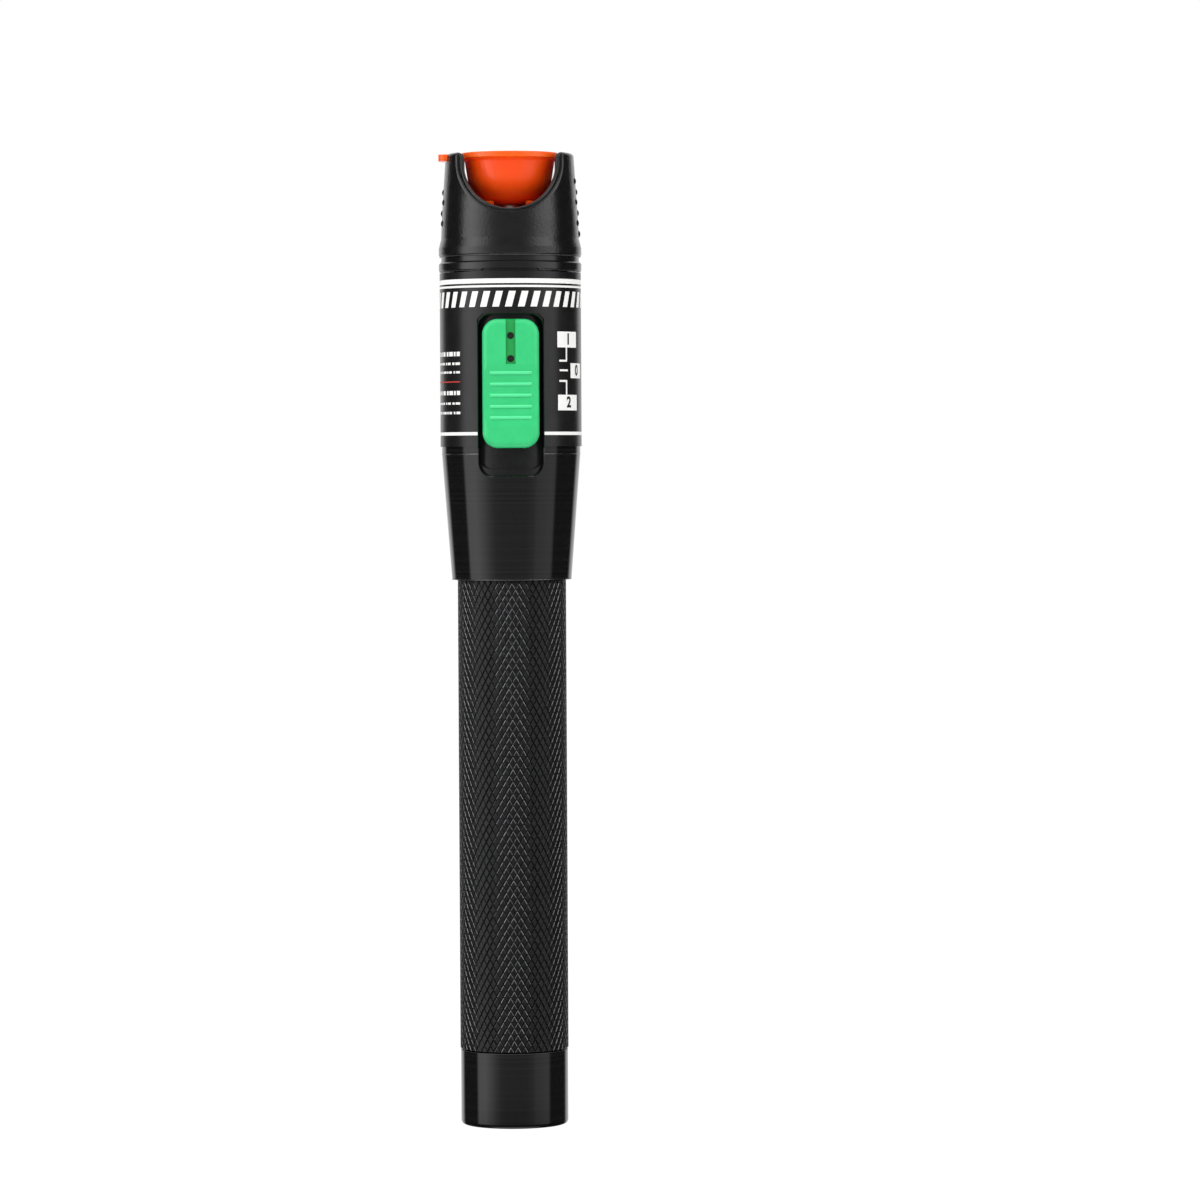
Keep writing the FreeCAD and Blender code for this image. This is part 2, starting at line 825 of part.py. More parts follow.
def make_slide_button():
    """Thumb button: crowned edges, thumb dish with ridges, sunk channel with two holes."""
    body = new_body("slide_button")
    half = size["button_width"] / 2
    start = button_under / 2
    outline = new_sketch(body, "block_outline", "XZ", start)
    draw(outline, rounded_rectangle(half, button_bottom, button_top, size["button_corner"]))
    padded(body, "block", outline, button_front - start)
    below = rectangle(0, button_under, button_bottom - PAST, button_top + PAST)
    hollow = turned_cut(body, "underside", below)
    front = dressed(body, "Fillet", "front_edge", hollow, "Radius", size["button_edge"],
                    is_button_front)

    dish_middle = button_bottom + size["dish_above_bottom"]
    dish_half = size["dish_length"] / 2
    depth = size["dish_depth"]
    dish_radius = (dish_half * dish_half + depth * depth) / (depth * 2)
    dish_centre = button_front - depth + dish_radius
    dish = new_sketch(body, "dish_outline", "YZ")
    draw_circle(dish, -dish_centre, dish_middle, dish_radius)
    pocketed(body, "dish", dish, size["button_width"] * 2, middle=True)

    channel = new_sketch(body, "channel_outline", "XZ", button_front)
    half_channel = size["channel_width"] / 2
    channel_low = button_top - size["channel_length"]
    draw(channel, rectangle(-half_channel, half_channel, channel_low, button_top + PAST))
    pocketed(body, "channel", channel, size["channel_depth"])

    half_rib = size["rib_width"] / 2
    boss = new_sketch(body, "boss_outline", "XZ", boss_face)
    draw(boss, rectangle(-half_rib, half_rib, rib_bottom, rib_top))
    padded(body, "boss", boss, (button_under + channel_floor) / 2 - boss_face)

    holes = new_sketch(body, "pin_hole_outline", "XZ", button_front)
    for height in pin_heights():
        draw_circle(holes, 0, height, size["pin_radius"] + size["pin_gap"])
    pocketed(body, "pin_holes", holes, button_front)

    count = int(SIZES["ridge_count"])
    for index in range(count):
        rise = (size["ridge_count"] / 2 - (index + 0.5)) * size["ridge_pitch"]
        dish_face = dish_centre - leg_of(dish_radius, rise)
        axis_depth = dish_face + size["ridge_proud"] - size["ridge_radius"]
        add_ridge(body, f"ridge_{index + 1}", axis_depth, dish_middle + rise)
    return body


def is_button_front(edge):
    """True for the edges round the button's front face."""
    return all(abs(vertex.Y + button_front.value) < 1e-4 for vertex in edge.Vertexes)


def pin_heights():
    """Heights of the two carrier pins that hold the button."""
    upper = button_top - size["pin_from_top"]
    return [upper, upper - size["pin_spacing"]]


def add_ridge(body, name, depth, height):
    """One round-ended ridge across the button, revolved about its own long axis."""
    half = size["ridge_length"] / 2
    radius = size["ridge_radius"]
    sketch = new_sketch(body, name + "_outline", "XY", height)
    bind(sketch, "AttachmentOffset.Base.y", -depth)
    draw(sketch, [
        (-half, 0),
        (-half + radius, radius, radius, "right"),
        (half - radius, radius),
        (half, 0, radius, "right"),
    ])
    ridge = body.newObject("PartDesign::Revolution", name)
    ridge.Profile = sketch
    ridge.ReferenceAxis = (sketch, ["H_Axis"])
    ridge.Angle = 360
    document.recompute()


def make_slide_carrier():
    """Slider behind the bezel: its pins hold the button, its back holds the lever."""
    body = new_body("slide_carrier")
    half_plate = size["plate_width"] / 2
    plate_high = rib_top + size["plate_above_rib"]
    plate = new_sketch(body, "plate_outline", "XZ", plate_back)
    plate_low = plate_high - size["plate_length"]
    draw(plate, rectangle(-half_plate, half_plate, plate_low, plate_high))
    padded(body, "plate", plate, size["plate_wall"])

    half_rib = size["rib_width"] / 2
    rib = new_sketch(body, "rib_outline", "XZ", plate_back)
    draw(rib, rectangle(-half_rib, half_rib, rib_bottom, rib_top))
    padded(body, "rib", rib, boss_face - plate_back)

    pins = new_sketch(body, "pin_outline", "XZ", plate_front)
    for height in pin_heights():
        draw_circle(pins, 0, height, size["pin_radius"])
    padded(body, "pins", pins, channel_floor - size["pin_sunk"] - plate_front)

    socket = new_sketch(body, "lever_socket_outline", "XZ", plate_back)
    half_socket = size["lever_width"] / 2 + size["lever_gap"]
    half_height = size["lever_length"] / 2 + size["lever_gap"]
    low = button_middle - half_height
    high = button_middle + half_height
    draw(socket, rectangle(-half_socket, half_socket, low, high))
    pocketed(body, "lever_socket", socket, size["plate_wall"], reverse=True)
    return body


def make_switch_lever():
    """Nylon lever of the slide switch, its foot running inside the metal case."""
    body = new_body("switch_lever")
    half_foot = size["lever_foot_width"] / 2
    half_length = size["lever_foot_length"] / 2
    foot = new_sketch(body, "foot_outline", "XZ", lever_foot_back)
    low = button_middle - half_length
    high = button_middle + half_length
    draw(foot, rectangle(-half_foot, half_foot, low, high))
    padded(body, "foot", foot, size["lever_foot_wall"])

    half_width = size["lever_width"] / 2
    half_height = size["lever_length"] / 2
    stem = new_sketch(body, "stem_outline", "XZ", lever_foot_back)
    low = button_middle - half_height
    high = button_middle + half_height
    draw(stem, rectangle(-half_width, half_width, low, high))
    tip = plate_front - size["lever_tip_gap"]
    padded(body, "stem", stem, tip - lever_foot_back)
    return body


def make_switch_case():
    """Pressed metal case of the slide switch, with the window that the lever runs in."""
    body = new_body("switch_case")
    half_width = size["case_width"] / 2
    half_length = size["case_length"] / 2
    wall = size["case_wall"]
    box = new_sketch(body, "box_outline", "XZ", board_front)
    low = case_middle - half_length
    high = case_middle + half_length
    draw(box, rectangle(-half_width, half_width, low, high))
    padded(body, "box", box, size["case_depth"])

    inside = new_sketch(body, "inside_outline", "XZ", board_front)
    draw(inside, rectangle(-half_width + wall, half_width - wall, low + wall, high - wall))
    pocketed(body, "inside", inside, size["case_depth"] - wall, reverse=True)

    slot = new_sketch(body, "slot_outline", "XZ", board_front)
    half_slot = size["lever_width"] / 2 + size["lever_gap"]
    half_height = size["lever_length"] / 2 + size["lever_gap"]
    slot_low = button_middle - switch_travel - half_height
    slot_high = button_middle + half_height
    draw(slot, rectangle(-half_slot, half_slot, slot_low, slot_high))
    pocketed(body, "slot", slot, size["case_depth"] * 2, reverse=True)
    return body


def make_switch_base():
    """Insulating base of the slide switch, on the board and inside the case."""
    body = new_body("switch_base")
    inset = size["case_wall"] + size["lever_gap"]
    half_width = size["case_width"] / 2 - inset
    half_length = size["case_length"] / 2 - inset
    base = new_sketch(body, "base_outline", "XZ", board_front)
    low = case_middle - half_length
    high = case_middle + half_length
    draw(base, rectangle(-half_width, half_width, low, high))
    padded(body, "base", base, lever_foot_back - size["lever_gap"] - board_front)
    return body


def make_circuit_board():
    """Driver board, standing on the contact holder between the chassis legs."""
    body = new_body("circuit_board")
    outline = new_sketch(body, "board_outline", "XZ", size["board_back"])
    board_top = plug_bottom - size["board_top_gap"]
    draw(outline, rectangle(-board_half, board_half, holder_top, board_top))
    padded(body, "board", outline, size["board_wall"])
    return body


def make_driver_chip():
    """Eight-leg constant-current driver on the back of the board."""
    body = new_body("driver_chip")
    half_width = size["chip_width"] / 2
    low = holder_top + size["chip_above_holder"]
    high = low + size["chip_length"]
    package = new_sketch(body, "package_outline", "XZ", size["board_back"])
    draw(package, rectangle(-half_width, half_width, low, high))
    padded(body, "package", package, size["chip_height"], reverse=True)

    legs = new_sketch(body, "leg_outline", "XZ", size["board_back"])
    reach = half_width + size["chip_leg_length"]
    half_leg = size["chip_leg_width"] / 2
    middle = (low + high) / 2
    for row in range(CHIP_LEG_ROWS):
        height = middle + size["chip_leg_pitch"] * (row - (CHIP_LEG_ROWS - 1) / 2)
        draw(legs, rectangle(half_width, reach, height - half_leg, height + half_leg))
        draw(legs, rectangle(-reach, -half_width, height - half_leg, height + half_leg))
    padded(body, "legs", legs, size["chip_leg_wall"], reverse=True)
    return body


def make_chip_parts():
    """Three surface-mount parts in a row on the front of the board."""
    boxes = []
    for index, step in enumerate((-1, 0, 1), start=1):
        box = document.addObject("Part::Box", f"chip_part_{index}")
        bind(box, "Length", size["part_width"])
        bind(box, "Width", size["part_height"])
        bind(box, "Height", size["part_length"])
        bind(box, "Placement.Base.x", size["part_pitch"] * step - size["part_width"] / 2)
        bind(box, "Placement.Base.y", -board_front - size["part_height"])
        bind(box, "Placement.Base.z", holder_top + size["part_above_holder"])
        boxes.append(box)
    return grouped("chip_parts", boxes)


def grouped(name, items):
    """Separate solids of one kind, kept together as one sub-part."""
    group = document.addObject("Part::Compound", name)
    group.Label = name
    group.Links = items
    return group


def make_contact_holder():
    """Moulded disc on the housing's shoulder that insulates the front cell's contact."""
    body = new_body("contact_holder")
    ground_face = spigot_top + size["ground_wall"]
    head_top = cells_top + size["contact_head_height"]
    collar = spigot_radius - size["holder_gap"]
    stem_hole = size["contact_stem_radius"] + size["holder_gap"]
    turned(body, "disc", [
        (stem_hole, head_top),
        (size["contact_boss_radius"], head_top),
        (size["contact_boss_radius"], ground_face),
        (collar, ground_face),
        (collar, shoulder_top),
        (size["housing_bore"] - size["holder_gap"], shoulder_top),
        (size["housing_bore"] - size["holder_gap"], holder_top),
        (stem_hole, holder_top),
    ])
    return body


def make_ground_contact():
    """Brass ring that the spigot's end face closes against."""
    body = new_body("ground_contact")
    outer = spigot_radius - size["holder_gap"]
    inner = outer - size["ground_ring_width"]
    ring = rectangle(inner, outer, spigot_top, spigot_top + size["ground_wall"])
    turned(body, "ring", ring)
    return body


def make_positive_contact():
    """Riveted contact: its head meets the front cell, its stem reaches the board."""
    body = new_body("positive_contact")
    head_top = cells_top + size["contact_head_height"]
    head = size["contact_head_radius"]
    stem = size["contact_stem_radius"]
    turned(body, "rivet", [
        (0, cells_top),
        (head - size["edge_break"], cells_top),
        (head, cells_top + size["edge_break"], size["edge_break"], "left"),
        (head, head_top),
        (stem, head_top),
        (stem, head_top + size["contact_stem_length"]),
        (0, head_top + size["contact_stem_length"]),
    ])
    return body


def make_module_holder():
    """Chassis: plugs the housing, centres the laser and holds the board in two rails."""
    body = new_body("module_holder")
    flange = flange_radius
    neck = flange - size["neck_depth"]
    edge = size["flange_edge"]
    barrel_bore = size["barrel_radius"] + size["barrel_gap"]
    turned(body, "chassis", [
        (barrel_bore, plug_bottom),
        (plug_radius, plug_bottom),
        (plug_radius, flange_bottom),
        (flange - edge, flange_bottom),
        (flange, flange_bottom + edge),
        (flange, flange_top - edge),
        (flange - edge, flange_top),
        (neck, flange_top),
        (neck, guard_bottom),
        (boss_radius, guard_bottom),
        (boss_radius, boss_top),
        (barrel_bore, boss_top),
    ])

    rails = new_sketch(body, "rail_outline", "XY", holder_top)
    front = -size["leg_front"]
    back = front + size["leg_depth"]
    slot_front = -board_front - size["rail_gap"]
    slot_back = size["rail_gap"] - size["board_back"]
    slot_end = board_half + size["rail_gap"]
    for side in (1, -1):
        draw(rails, [
            (leg_inner * side, front),
            (leg_outer * side, front),
            (leg_outer * side, back),
            (leg_inner * side, back),
            (leg_inner * side, slot_back),
            (slot_end * side, slot_back),
            (slot_end * side, slot_front),
            (leg_inner * side, slot_front),
        ])
    padded(body, "rails", rails, plug_bottom - holder_top)

    key_room = size["key_width"] / 2 + size["rail_gap"]
    beyond = flange * 2
    keyway = new_sketch(body, "keyway_outline", "XY", flange_bottom)
    draw(keyway, [
        (-key_room, -leg_of(beyond, key_room)),
        (key_room, -leg_of(beyond, key_room), beyond, "left"),
        (key_room, -leg_of(plug_radius, key_room)),
        (-key_room, -leg_of(plug_radius, key_room), plug_radius, "right"),
    ])
    key_top = housing_top + size["key_height"]
    pocketed(body, "keyway", keyway, key_top - flange_bottom, reverse=True)

    grub = new_sketch(body, "grub_hole_outline", "YZ")
    draw_circle(grub, 0, grub_height, size["grub_radius"] + size["grub_gap"])
    hole = pocketed(body, "grub_hole", grub, beyond, reverse=True)
    ring_pattern(body, "grub_holes", [hole], SCREW_COUNT)
    return body


def ring_pattern(body, name, features, count):
    """Repeat features evenly round the body's Z axis."""
    pattern = body.newObject("PartDesign::PolarPattern", name)
    pattern.Originals = features
    axes = [item for item in body.Origin.OriginFeatures if item.Role == "Z_Axis"]
    pattern.Axis = (axes[0], [""])
    pattern.Angle = 360
    pattern.Occurrences = count
    body.Tip = pattern
    document.recompute()
    return pattern


def make_alignment_screws():
    """Three socket grub screws that centre the laser barrel in the chassis."""
    screws = []
    for index in range(SCREW_COUNT):
        name = f"grub_{index + 1}"
        rod = document.addObject("Part::Cylinder", name + "_rod")
        bind(rod, "Radius", size["grub_radius"])
        bind(rod, "Height", size["grub_length"])
        socket = document.addObject("Part::Cylinder", name + "_socket")
        bind(socket, "Radius", size["grub_socket_radius"])
        bind(socket, "Height", size["grub_socket_depth"])
        bind(socket, "Placement.Base.z", size["grub_length"] - size["grub_socket_depth"])
        screw = document.addObject("Part::Cut", name)
        screw.Base = rod
        screw.Tool = socket
        turn = FreeCAD.Rotation(Vector(0, 0, 1), 360 / SCREW_COUNT * index)
        screw.Placement.Rotation = turn * FreeCAD.Rotation(Vector(0, 1, 0), 90)
        direction = turn.multVec(Vector(1, 0, 0))
        bind(screw, "Placement.Base.x", size["barrel_radius"] * direction.x)
        bind(screw, "Placement.Base.y", size["barrel_radius"] * direction.y)
        bind(screw, "Placement.Base.z", grub_height)
        screws.append(screw)
    return grouped("alignment_screws", screws)


def make_laser_barrel():
    """Brass barrel that holds the diode, the lens and its retainer on one axis."""
    body = new_body("laser_barrel")
    barrel = size["barrel_radius"]
    turned(body, "barrel", [
        (size["diode_radius"] + size["diode_gap"], barrel_bottom),
        (barrel, barrel_bottom),
        (barrel, boss_top),
        (size["barrel_flange_radius"], boss_top),
        (size["barrel_flange_radius"], port_bottom),
        (lens_bore, port_bottom),
        (lens_bore, lens_bottom),
        (size["retainer_bore"], lens_bottom),
        (size["retainer_bore"], diode_seat),
        (size["diode_radius"] + size["diode_gap"], diode_seat),
    ])
    return body


def make_laser_diode():
    """Red laser diode in its metal can, two of its leads lying on the board's back."""
    body = new_body("laser_diode")
    base_bottom = diode_seat - size["diode_base"]
    can_top = diode_seat + size["diode_can_length"]
    can = size["diode_can_radius"]
    edge = size["edge_break"]
    turned(body, "can", [
        (0, base_bottom),
        (size["diode_radius"], base_bottom),
        (size["diode_radius"], diode_seat),
        (can, diode_seat),
        (can, can_top - edge),
        (can - edge, can_top, edge, "left"),
        (0, can_top),
    ])
    leads = new_sketch(body, "lead_outline", "XY", base_bottom)
    lead_row = size["lead_radius"] - size["board_back"]
    half = size["lead_spacing"] / 2
    draw_circle(leads, half, lead_row, size["lead_radius"])
    draw_circle(leads, -half, lead_row, size["lead_radius"])
    draw_circle(leads, 0, half, size["lead_radius"])
    padded(body, "leads", leads, size["lead_length"], reverse=True)
    return body


def make_focus_lens():
    """Plano-convex glass lens on the step inside the barrel."""
    body = new_body("focus_lens")
    radius = size["lens_radius"]
    rim = lens_bottom + size["lens_edge"]
    turned(body, "lens", [
        (0, lens_bottom),
        (radius, lens_bottom),
        (radius, rim),
        (0, rim + size["lens_crown"], lens_curve, "left"),
    ])
    return body


def make_lens_retainer():
    """Threaded cap that holds the lens down; the ferrule sleeve stands on its nose."""
    body = new_body("lens_retainer")
    bore = size["retainer_bore"]
    outer = lens_bore - size["retainer_gap"]
    nose = sleeve_room - size["nose_gap"]
    bulge = size["lens_crown"] - lens_curve + leg_of(lens_curve, bore)
    low = lens_bottom + size["lens_edge"] + bulge
    roof = port_bottom - size["retainer_roof"]
    turned(body, "cap", [
        (bore, low),
        (outer, low),
        (outer, port_bottom),
        (nose, port_bottom),
        (nose, sleeve_bottom),
        (size["light_bore"], sleeve_bottom),
        (size["light_bore"], roof),
        (bore, roof),
    ])
    half_slot = size["retainer_slot_width"] / 2
    slots = new_sketch(body, "slot_outline", "XY", port_bottom)
    start = (nose + outer) / 2
    draw(slots, rectangle(start, outer + PAST, -half_slot, half_slot))
    draw(slots, rectangle(-outer - PAST, -start, -half_slot, half_slot))
    pocketed(body, "slots", slots, size["retainer_slot_depth"])
    return body


def make_port_tube():
    """Nickel-plated port: flange on the barrel, neck through the guard, ferrule tube."""
    body = new_body("port_tube")
    outer = size["port_radius"]
    edge = size["port_edge"]
    lip = size["ferrule_radius"] + size["sleeve_gap"] * 2
    turned(body, "port", [
        (sleeve_room, port_bottom),
        (size["port_flange_radius"], port_bottom),
        (size["port_flange_radius"], web_bottom),
        (size["port_neck_radius"], web_bottom),
        (size["port_neck_radius"], port_shoulder),
        (outer, port_shoulder),
        (outer, port_top - edge),
        (outer - edge, port_top),
        (lip + edge, port_top),
        (lip, port_top - edge),
        (lip, port_top - size["port_lip"]),
        (sleeve_room, port_top - size["port_lip"]),
    ])
    return body


def make_ferrule_sleeve():
    """Split ceramic sleeve that grips a 2.5 mm ferrule."""
    body = new_body("ferrule_sleeve")
    wall = rectangle(size["ferrule_radius"], size["sleeve_radius"], sleeve_bottom, sleeve_top)
    turned(body, "sleeve", wall)
    half_slit = size["sleeve_slit"] / 2
    slit = new_sketch(body, "slit_outline", "YZ")
    draw(slit, rectangle(-half_slit, half_slit, sleeve_bottom - PAST, sleeve_top + PAST))
    pocketed(body, "slit", slit, size["sleeve_radius"] * 2)
    return body


def make_port_nut():
    """Hexagon nut that clamps the guard down on the port's flange."""
    body = new_body("port_nut")
    half_flats = size["nut_across_flats"] / 2
    corner = half_flats / math.cos(math.pi / 6)
    hexagon = new_sketch(body, "hexagon", "XY", crown_floor)
    draw(hexagon, [
        (half_flats, -corner / 2),
        (half_flats, corner / 2),
        (0, corner),
        (-half_flats, corner / 2),
        (-half_flats, -corner / 2),
        (0, -corner),
    ])
    padded(body, "blank", hexagon, size["nut_length"])
    bore = new_sketch(body, "bore_outline", "XY", crown_floor)
    draw_circle(bore, 0, 0, size["port_neck_radius"] + size["nut_gap"])
    pocketed(body, "bore", bore, size["nut_length"] * 2, reverse=True)
    return body


def guard_radius_at(height):
    """Outer radius of the guard at a height on its long upper taper."""
    start = guard_bottom + size["crown_height"]
    slope = (post_radius - crown_radius) / (guard_top - start)
    return crown_radius + slope * (height - start)


def make_guard():
    """Moulded crown: two posts and two finger scoops round the port, with grip pips."""
    shell = new_body("guard_shell")
    base = flange_radius
    edge = size["guard_edge"]
    web_hole = size["port_neck_radius"] + size["guard_gap"]
    skirt = boss_radius + size["guard_gap"]
    turned(shell, "crown", [
        (skirt, guard_bottom),
        (base - edge, guard_bottom),
        (base, guard_bottom + edge),
        (base, guard_bottom + size["guard_base_length"]),
        (base - size["waist_drop"], guard_bottom + size["waist_height"]),
        (crown_radius, guard_bottom + size["crown_height"]),
        (post_radius, guard_top),
        (post_bore, guard_top),
        (post_bore, crown_floor),
        (web_hole, crown_floor),
        (web_hole, web_bottom),
        (skirt, web_bottom),
    ])

    radius = size["scoop_radius"]
    over = guard_top + PAST
    scoop = new_sketch(shell, "scoop_outline", "XZ")
    draw(scoop, [
        (-radius, over),
        (-radius, scoop_bottom + radius),
        (0, scoop_bottom, radius, "left"),
        (radius, scoop_bottom + radius, radius, "left"),
        (radius, over),
    ])
    scooped = pocketed(shell, "scoops", scoop, base * 4, middle=True)
    dressed(shell, "Fillet", "post_edges", scooped, "Radius", size["post_edge"],
            is_post_edge)

    half_notch = size["notch_width"] / 2
    notch = new_sketch(shell, "notch_outline", "YZ")
    draw(notch, rectangle(-half_notch, half_notch, guard_top - size["notch_depth"], over))
    pocketed(shell, "tab_notch", notch, base * 2)
    return with_pips(shell)


def is_post_edge(edge):
    """True for the top edges of the posts and for the rims of the two scoops."""
    span = edge.LastParameter - edge.FirstParameter
    samples = [edge.valueAt(edge.FirstParameter + span * share) for share in (0.1, 0.4, 0.9)]
    if all(abs(point.z - guard_top.value) < 1e-4 for point in samples):
        return True
    centre = scoop_bottom.value + size["scoop_radius"].value
    for point in samples:
        reach = math.hypot(point.x, min(point.z - centre, 0))
        if abs(reach - size["scoop_radius"].value) > 1e-3:
            return False
    across = abs(samples[0].z - samples[2].z) < 1e-3
    return not across or abs(samples[1].x) < 1e-3 and abs(samples[0].x) > 1e-3


def with_pips(shell):
    """Fuse staggered columns of small round pips to the outer face of both posts."""
    pieces = [shell]
    radius = size["pip_radius"]
    rows = int(SIZES["pip_rows"])
    for side in (0, 180):
        for column in (-1, 0, 1):
            angle = math.radians(side + column * SIZES["pip_angle"])
            shift = size["pip_pitch"] * (abs(column) / 2)
            for row in range(rows):
                rise = size["pip_lowest"] + shift + size["pip_pitch"] * row
                height = guard_bottom + rise
                centre = guard_radius_at(height) - radius + size["pip_proud"]
                number = len(pieces)
                pip = document.addObject("Part::Sphere", f"pip_{number}")
                bind(pip, "Radius", radius)
                bind(pip, "Placement.Base.x", centre * math.cos(angle))
                bind(pip, "Placement.Base.y", centre * math.sin(angle))
                bind(pip, "Placement.Base.z", height)
                pieces.append(pip)
    guard = document.addObject("Part::MultiFuse", "guard")
    guard.Label = "guard"
    guard.Shapes = pieces
    return guard


def make_dust_cap():
    """Soft cap: a round-bottomed cup with a rim and a lift tab, over the ferrule tube."""
    body = new_body("dust_cap")
    bore = size["port_radius"] + size["cap_gap"]
    rim = post_bore - size["cap_rim_gap"]
    edge = size["cap_rim_edge"]
    cup = rim - size["cap_rim_overhang"]
    waist = cup - size["cap_cup_taper"]
    fillet = size["cap_cup_fillet"]
    rim_low = cap_top - size["cap_rim_wall"]
    turned(body, "cup", [
        (bore, cap_foot),
        (size["cap_foot_radius"], cap_foot),
        (waist, cap_top - size["cap_waist_depth"], size["cap_foot_round"], "left"),
        (cup, rim_low - fillet),
        (cup + fillet, rim_low, fillet, "right"),
        (rim, rim_low),
        (rim, cap_top - edge),
        (rim - edge, cap_top, edge, "left"),
        (0, cap_top),
        (0, cap_top - size["cap_top_wall"]),
        (bore, cap_top - size["cap_top_wall"]),
    ])
    half = size["tab_width"] / 2
    corner = size["tab_corner"]
    tip = -post_radius - size["tab_proud"]
    tab = new_sketch(body, "tab_outline", "XY", cap_top - size["tab_drop"])
    draw(tab, [
        (-cup, -half),
        (-cup, half),
        (tip + corner, half),
        (tip, half - corner, corner, "left"),
        (tip, -half + corner),
        (tip + corner, -half, corner, "left"),
    ])
    padded(body, "tab", tab, size["tab_wall"], reverse=True)
    return body


def make_cap_cradle():
    """Soft ring round the nut, its two ears rising beside the cap."""
    body = new_body("cap_cradle")
    inner = size["cradle_inner"]
    outer = size["cradle_outer"]
    ring_top = crown_floor + size["cradle_height"]
    turned(body, "ring", rectangle(inner, outer, crown_floor, ring_top))
    ear_top = ring_top + size["cradle_ear_height"]
    for name, left, right in (("right_ear", inner, outer), ("left_ear", -outer, -inner)):
        path = rectangle(left, right, crown_floor, ear_top)
        turned(body, name, path, angle=size["cradle_ear_angle"])
    return body


def faults(items):
    """Names of the objects that failed, and of sub-parts without a sound shape."""
    bad = []
    for item in document.Objects:
        if "Invalid" in item.State or "Error" in item.State:
            bad.append(item.Label)
    for item in items:
        if item.Shape.isNull() or not item.Shape.isValid() or not item.Shape.Solids:
            bad.append(item.Label + " shape")
    return bad


def main():
    """Build every sub-part, check it and write it out."""
    pieces = [
        make_handle_tube(),
        make_seal_ring(),
        make_tail_spring(),
        make_battery("battery_rear", rear_cell_bottom),
        make_battery("battery_front", front_cell_bottom),
        make_body_housing(),
        make_label_wrap(),
        make_switch_bezel(),
        make_slide_button(),
        make_slide_carrier(),
        make_switch_lever(),
        make_switch_case(),
        make_switch_base(),
        make_circuit_board(),
        make_driver_chip(),
        make_chip_parts(),
        make_contact_holder(),
        make_ground_contact(),
        make_positive_contact(),
        make_module_holder(),
        make_alignment_screws(),
        make_laser_barrel(),
        make_laser_diode(),
        make_focus_lens(),
        make_lens_retainer(),
        make_port_tube(),
        make_ferrule_sleeve(),
        make_port_nut(),
        make_guard(),
        make_dust_cap(),
        make_cap_cradle(),
    ]
    document.recompute()
    bad = faults(pieces)
    if bad:
        raise RuntimeError("failed: " + ", ".join(bad))
    os.makedirs("parts", exist_ok=True)
    for piece in pieces:
        piece.Shape.exportStep(os.path.join("parts", piece.Label + ".step"))


main()
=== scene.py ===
"""Looks of the visual fault locator: finishes, knurl, thread, print, light and camera.

Metres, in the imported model's frame: +Z up the pen, the slide switch facing -Y.
"""

import math

import bmesh
import bpy
from mathutils import Matrix, Vector


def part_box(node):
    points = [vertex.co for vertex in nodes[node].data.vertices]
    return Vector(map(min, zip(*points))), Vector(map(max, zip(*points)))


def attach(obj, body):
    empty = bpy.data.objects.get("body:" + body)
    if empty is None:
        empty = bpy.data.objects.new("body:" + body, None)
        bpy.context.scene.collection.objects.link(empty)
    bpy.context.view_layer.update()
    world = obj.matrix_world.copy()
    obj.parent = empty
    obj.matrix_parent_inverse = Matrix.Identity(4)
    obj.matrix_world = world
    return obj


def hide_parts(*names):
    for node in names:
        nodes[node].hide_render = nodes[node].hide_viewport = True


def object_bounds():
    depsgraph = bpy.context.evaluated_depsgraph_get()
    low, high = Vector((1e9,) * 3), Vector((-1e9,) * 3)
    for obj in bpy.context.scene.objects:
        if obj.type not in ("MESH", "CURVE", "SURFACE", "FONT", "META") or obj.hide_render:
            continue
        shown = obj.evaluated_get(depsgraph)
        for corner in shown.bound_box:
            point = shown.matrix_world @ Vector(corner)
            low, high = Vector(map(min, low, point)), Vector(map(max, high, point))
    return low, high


MM = 0.001
FULL_TURN = 2 * math.pi
WELD = 1e-8

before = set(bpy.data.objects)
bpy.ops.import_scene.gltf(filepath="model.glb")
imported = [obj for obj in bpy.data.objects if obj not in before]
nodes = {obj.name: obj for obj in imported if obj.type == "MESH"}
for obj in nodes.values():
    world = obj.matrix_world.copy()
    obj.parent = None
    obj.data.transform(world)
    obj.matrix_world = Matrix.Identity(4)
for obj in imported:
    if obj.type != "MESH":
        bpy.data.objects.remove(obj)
cad_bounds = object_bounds()

# Heights and radii read from the frame.
handle_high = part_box("handle_tube")[1]
housing_low, housing_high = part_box("body_housing")
label_low, label_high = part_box("label_wrap")
seal_low, seal_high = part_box("seal_ring")
button_low, button_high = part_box("slide_button")
guard_low, guard_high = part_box("guard")
flange_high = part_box("module_holder")[1]
HANDLE_RADIUS = handle_high.x
TUBE_TOP = housing_low.z
SPIGOT_TOP = handle_high.z
HOUSING_RADIUS = housing_high.x
LABEL_RADIUS = label_high.x
LABEL_TOP = label_high.z
LABEL_BOTTOM = label_low.z
FLANGE_RADIUS = flange_high.x

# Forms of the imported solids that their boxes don't give. Heights count from a piece's foot.
FOOT_RADIUS = HANDLE_RADIUS + 1.05 * MM
WELL_HALF = 5.93 * MM
CROWN_RADIUS = 12.7 * MM
CROWN_HEIGHT = 6.9 * MM
POST_RADIUS = 11.78 * MM
SCOOP_RADIUS = 8.7 * MM
SCOOP_CENTRE = 17.0 * MM

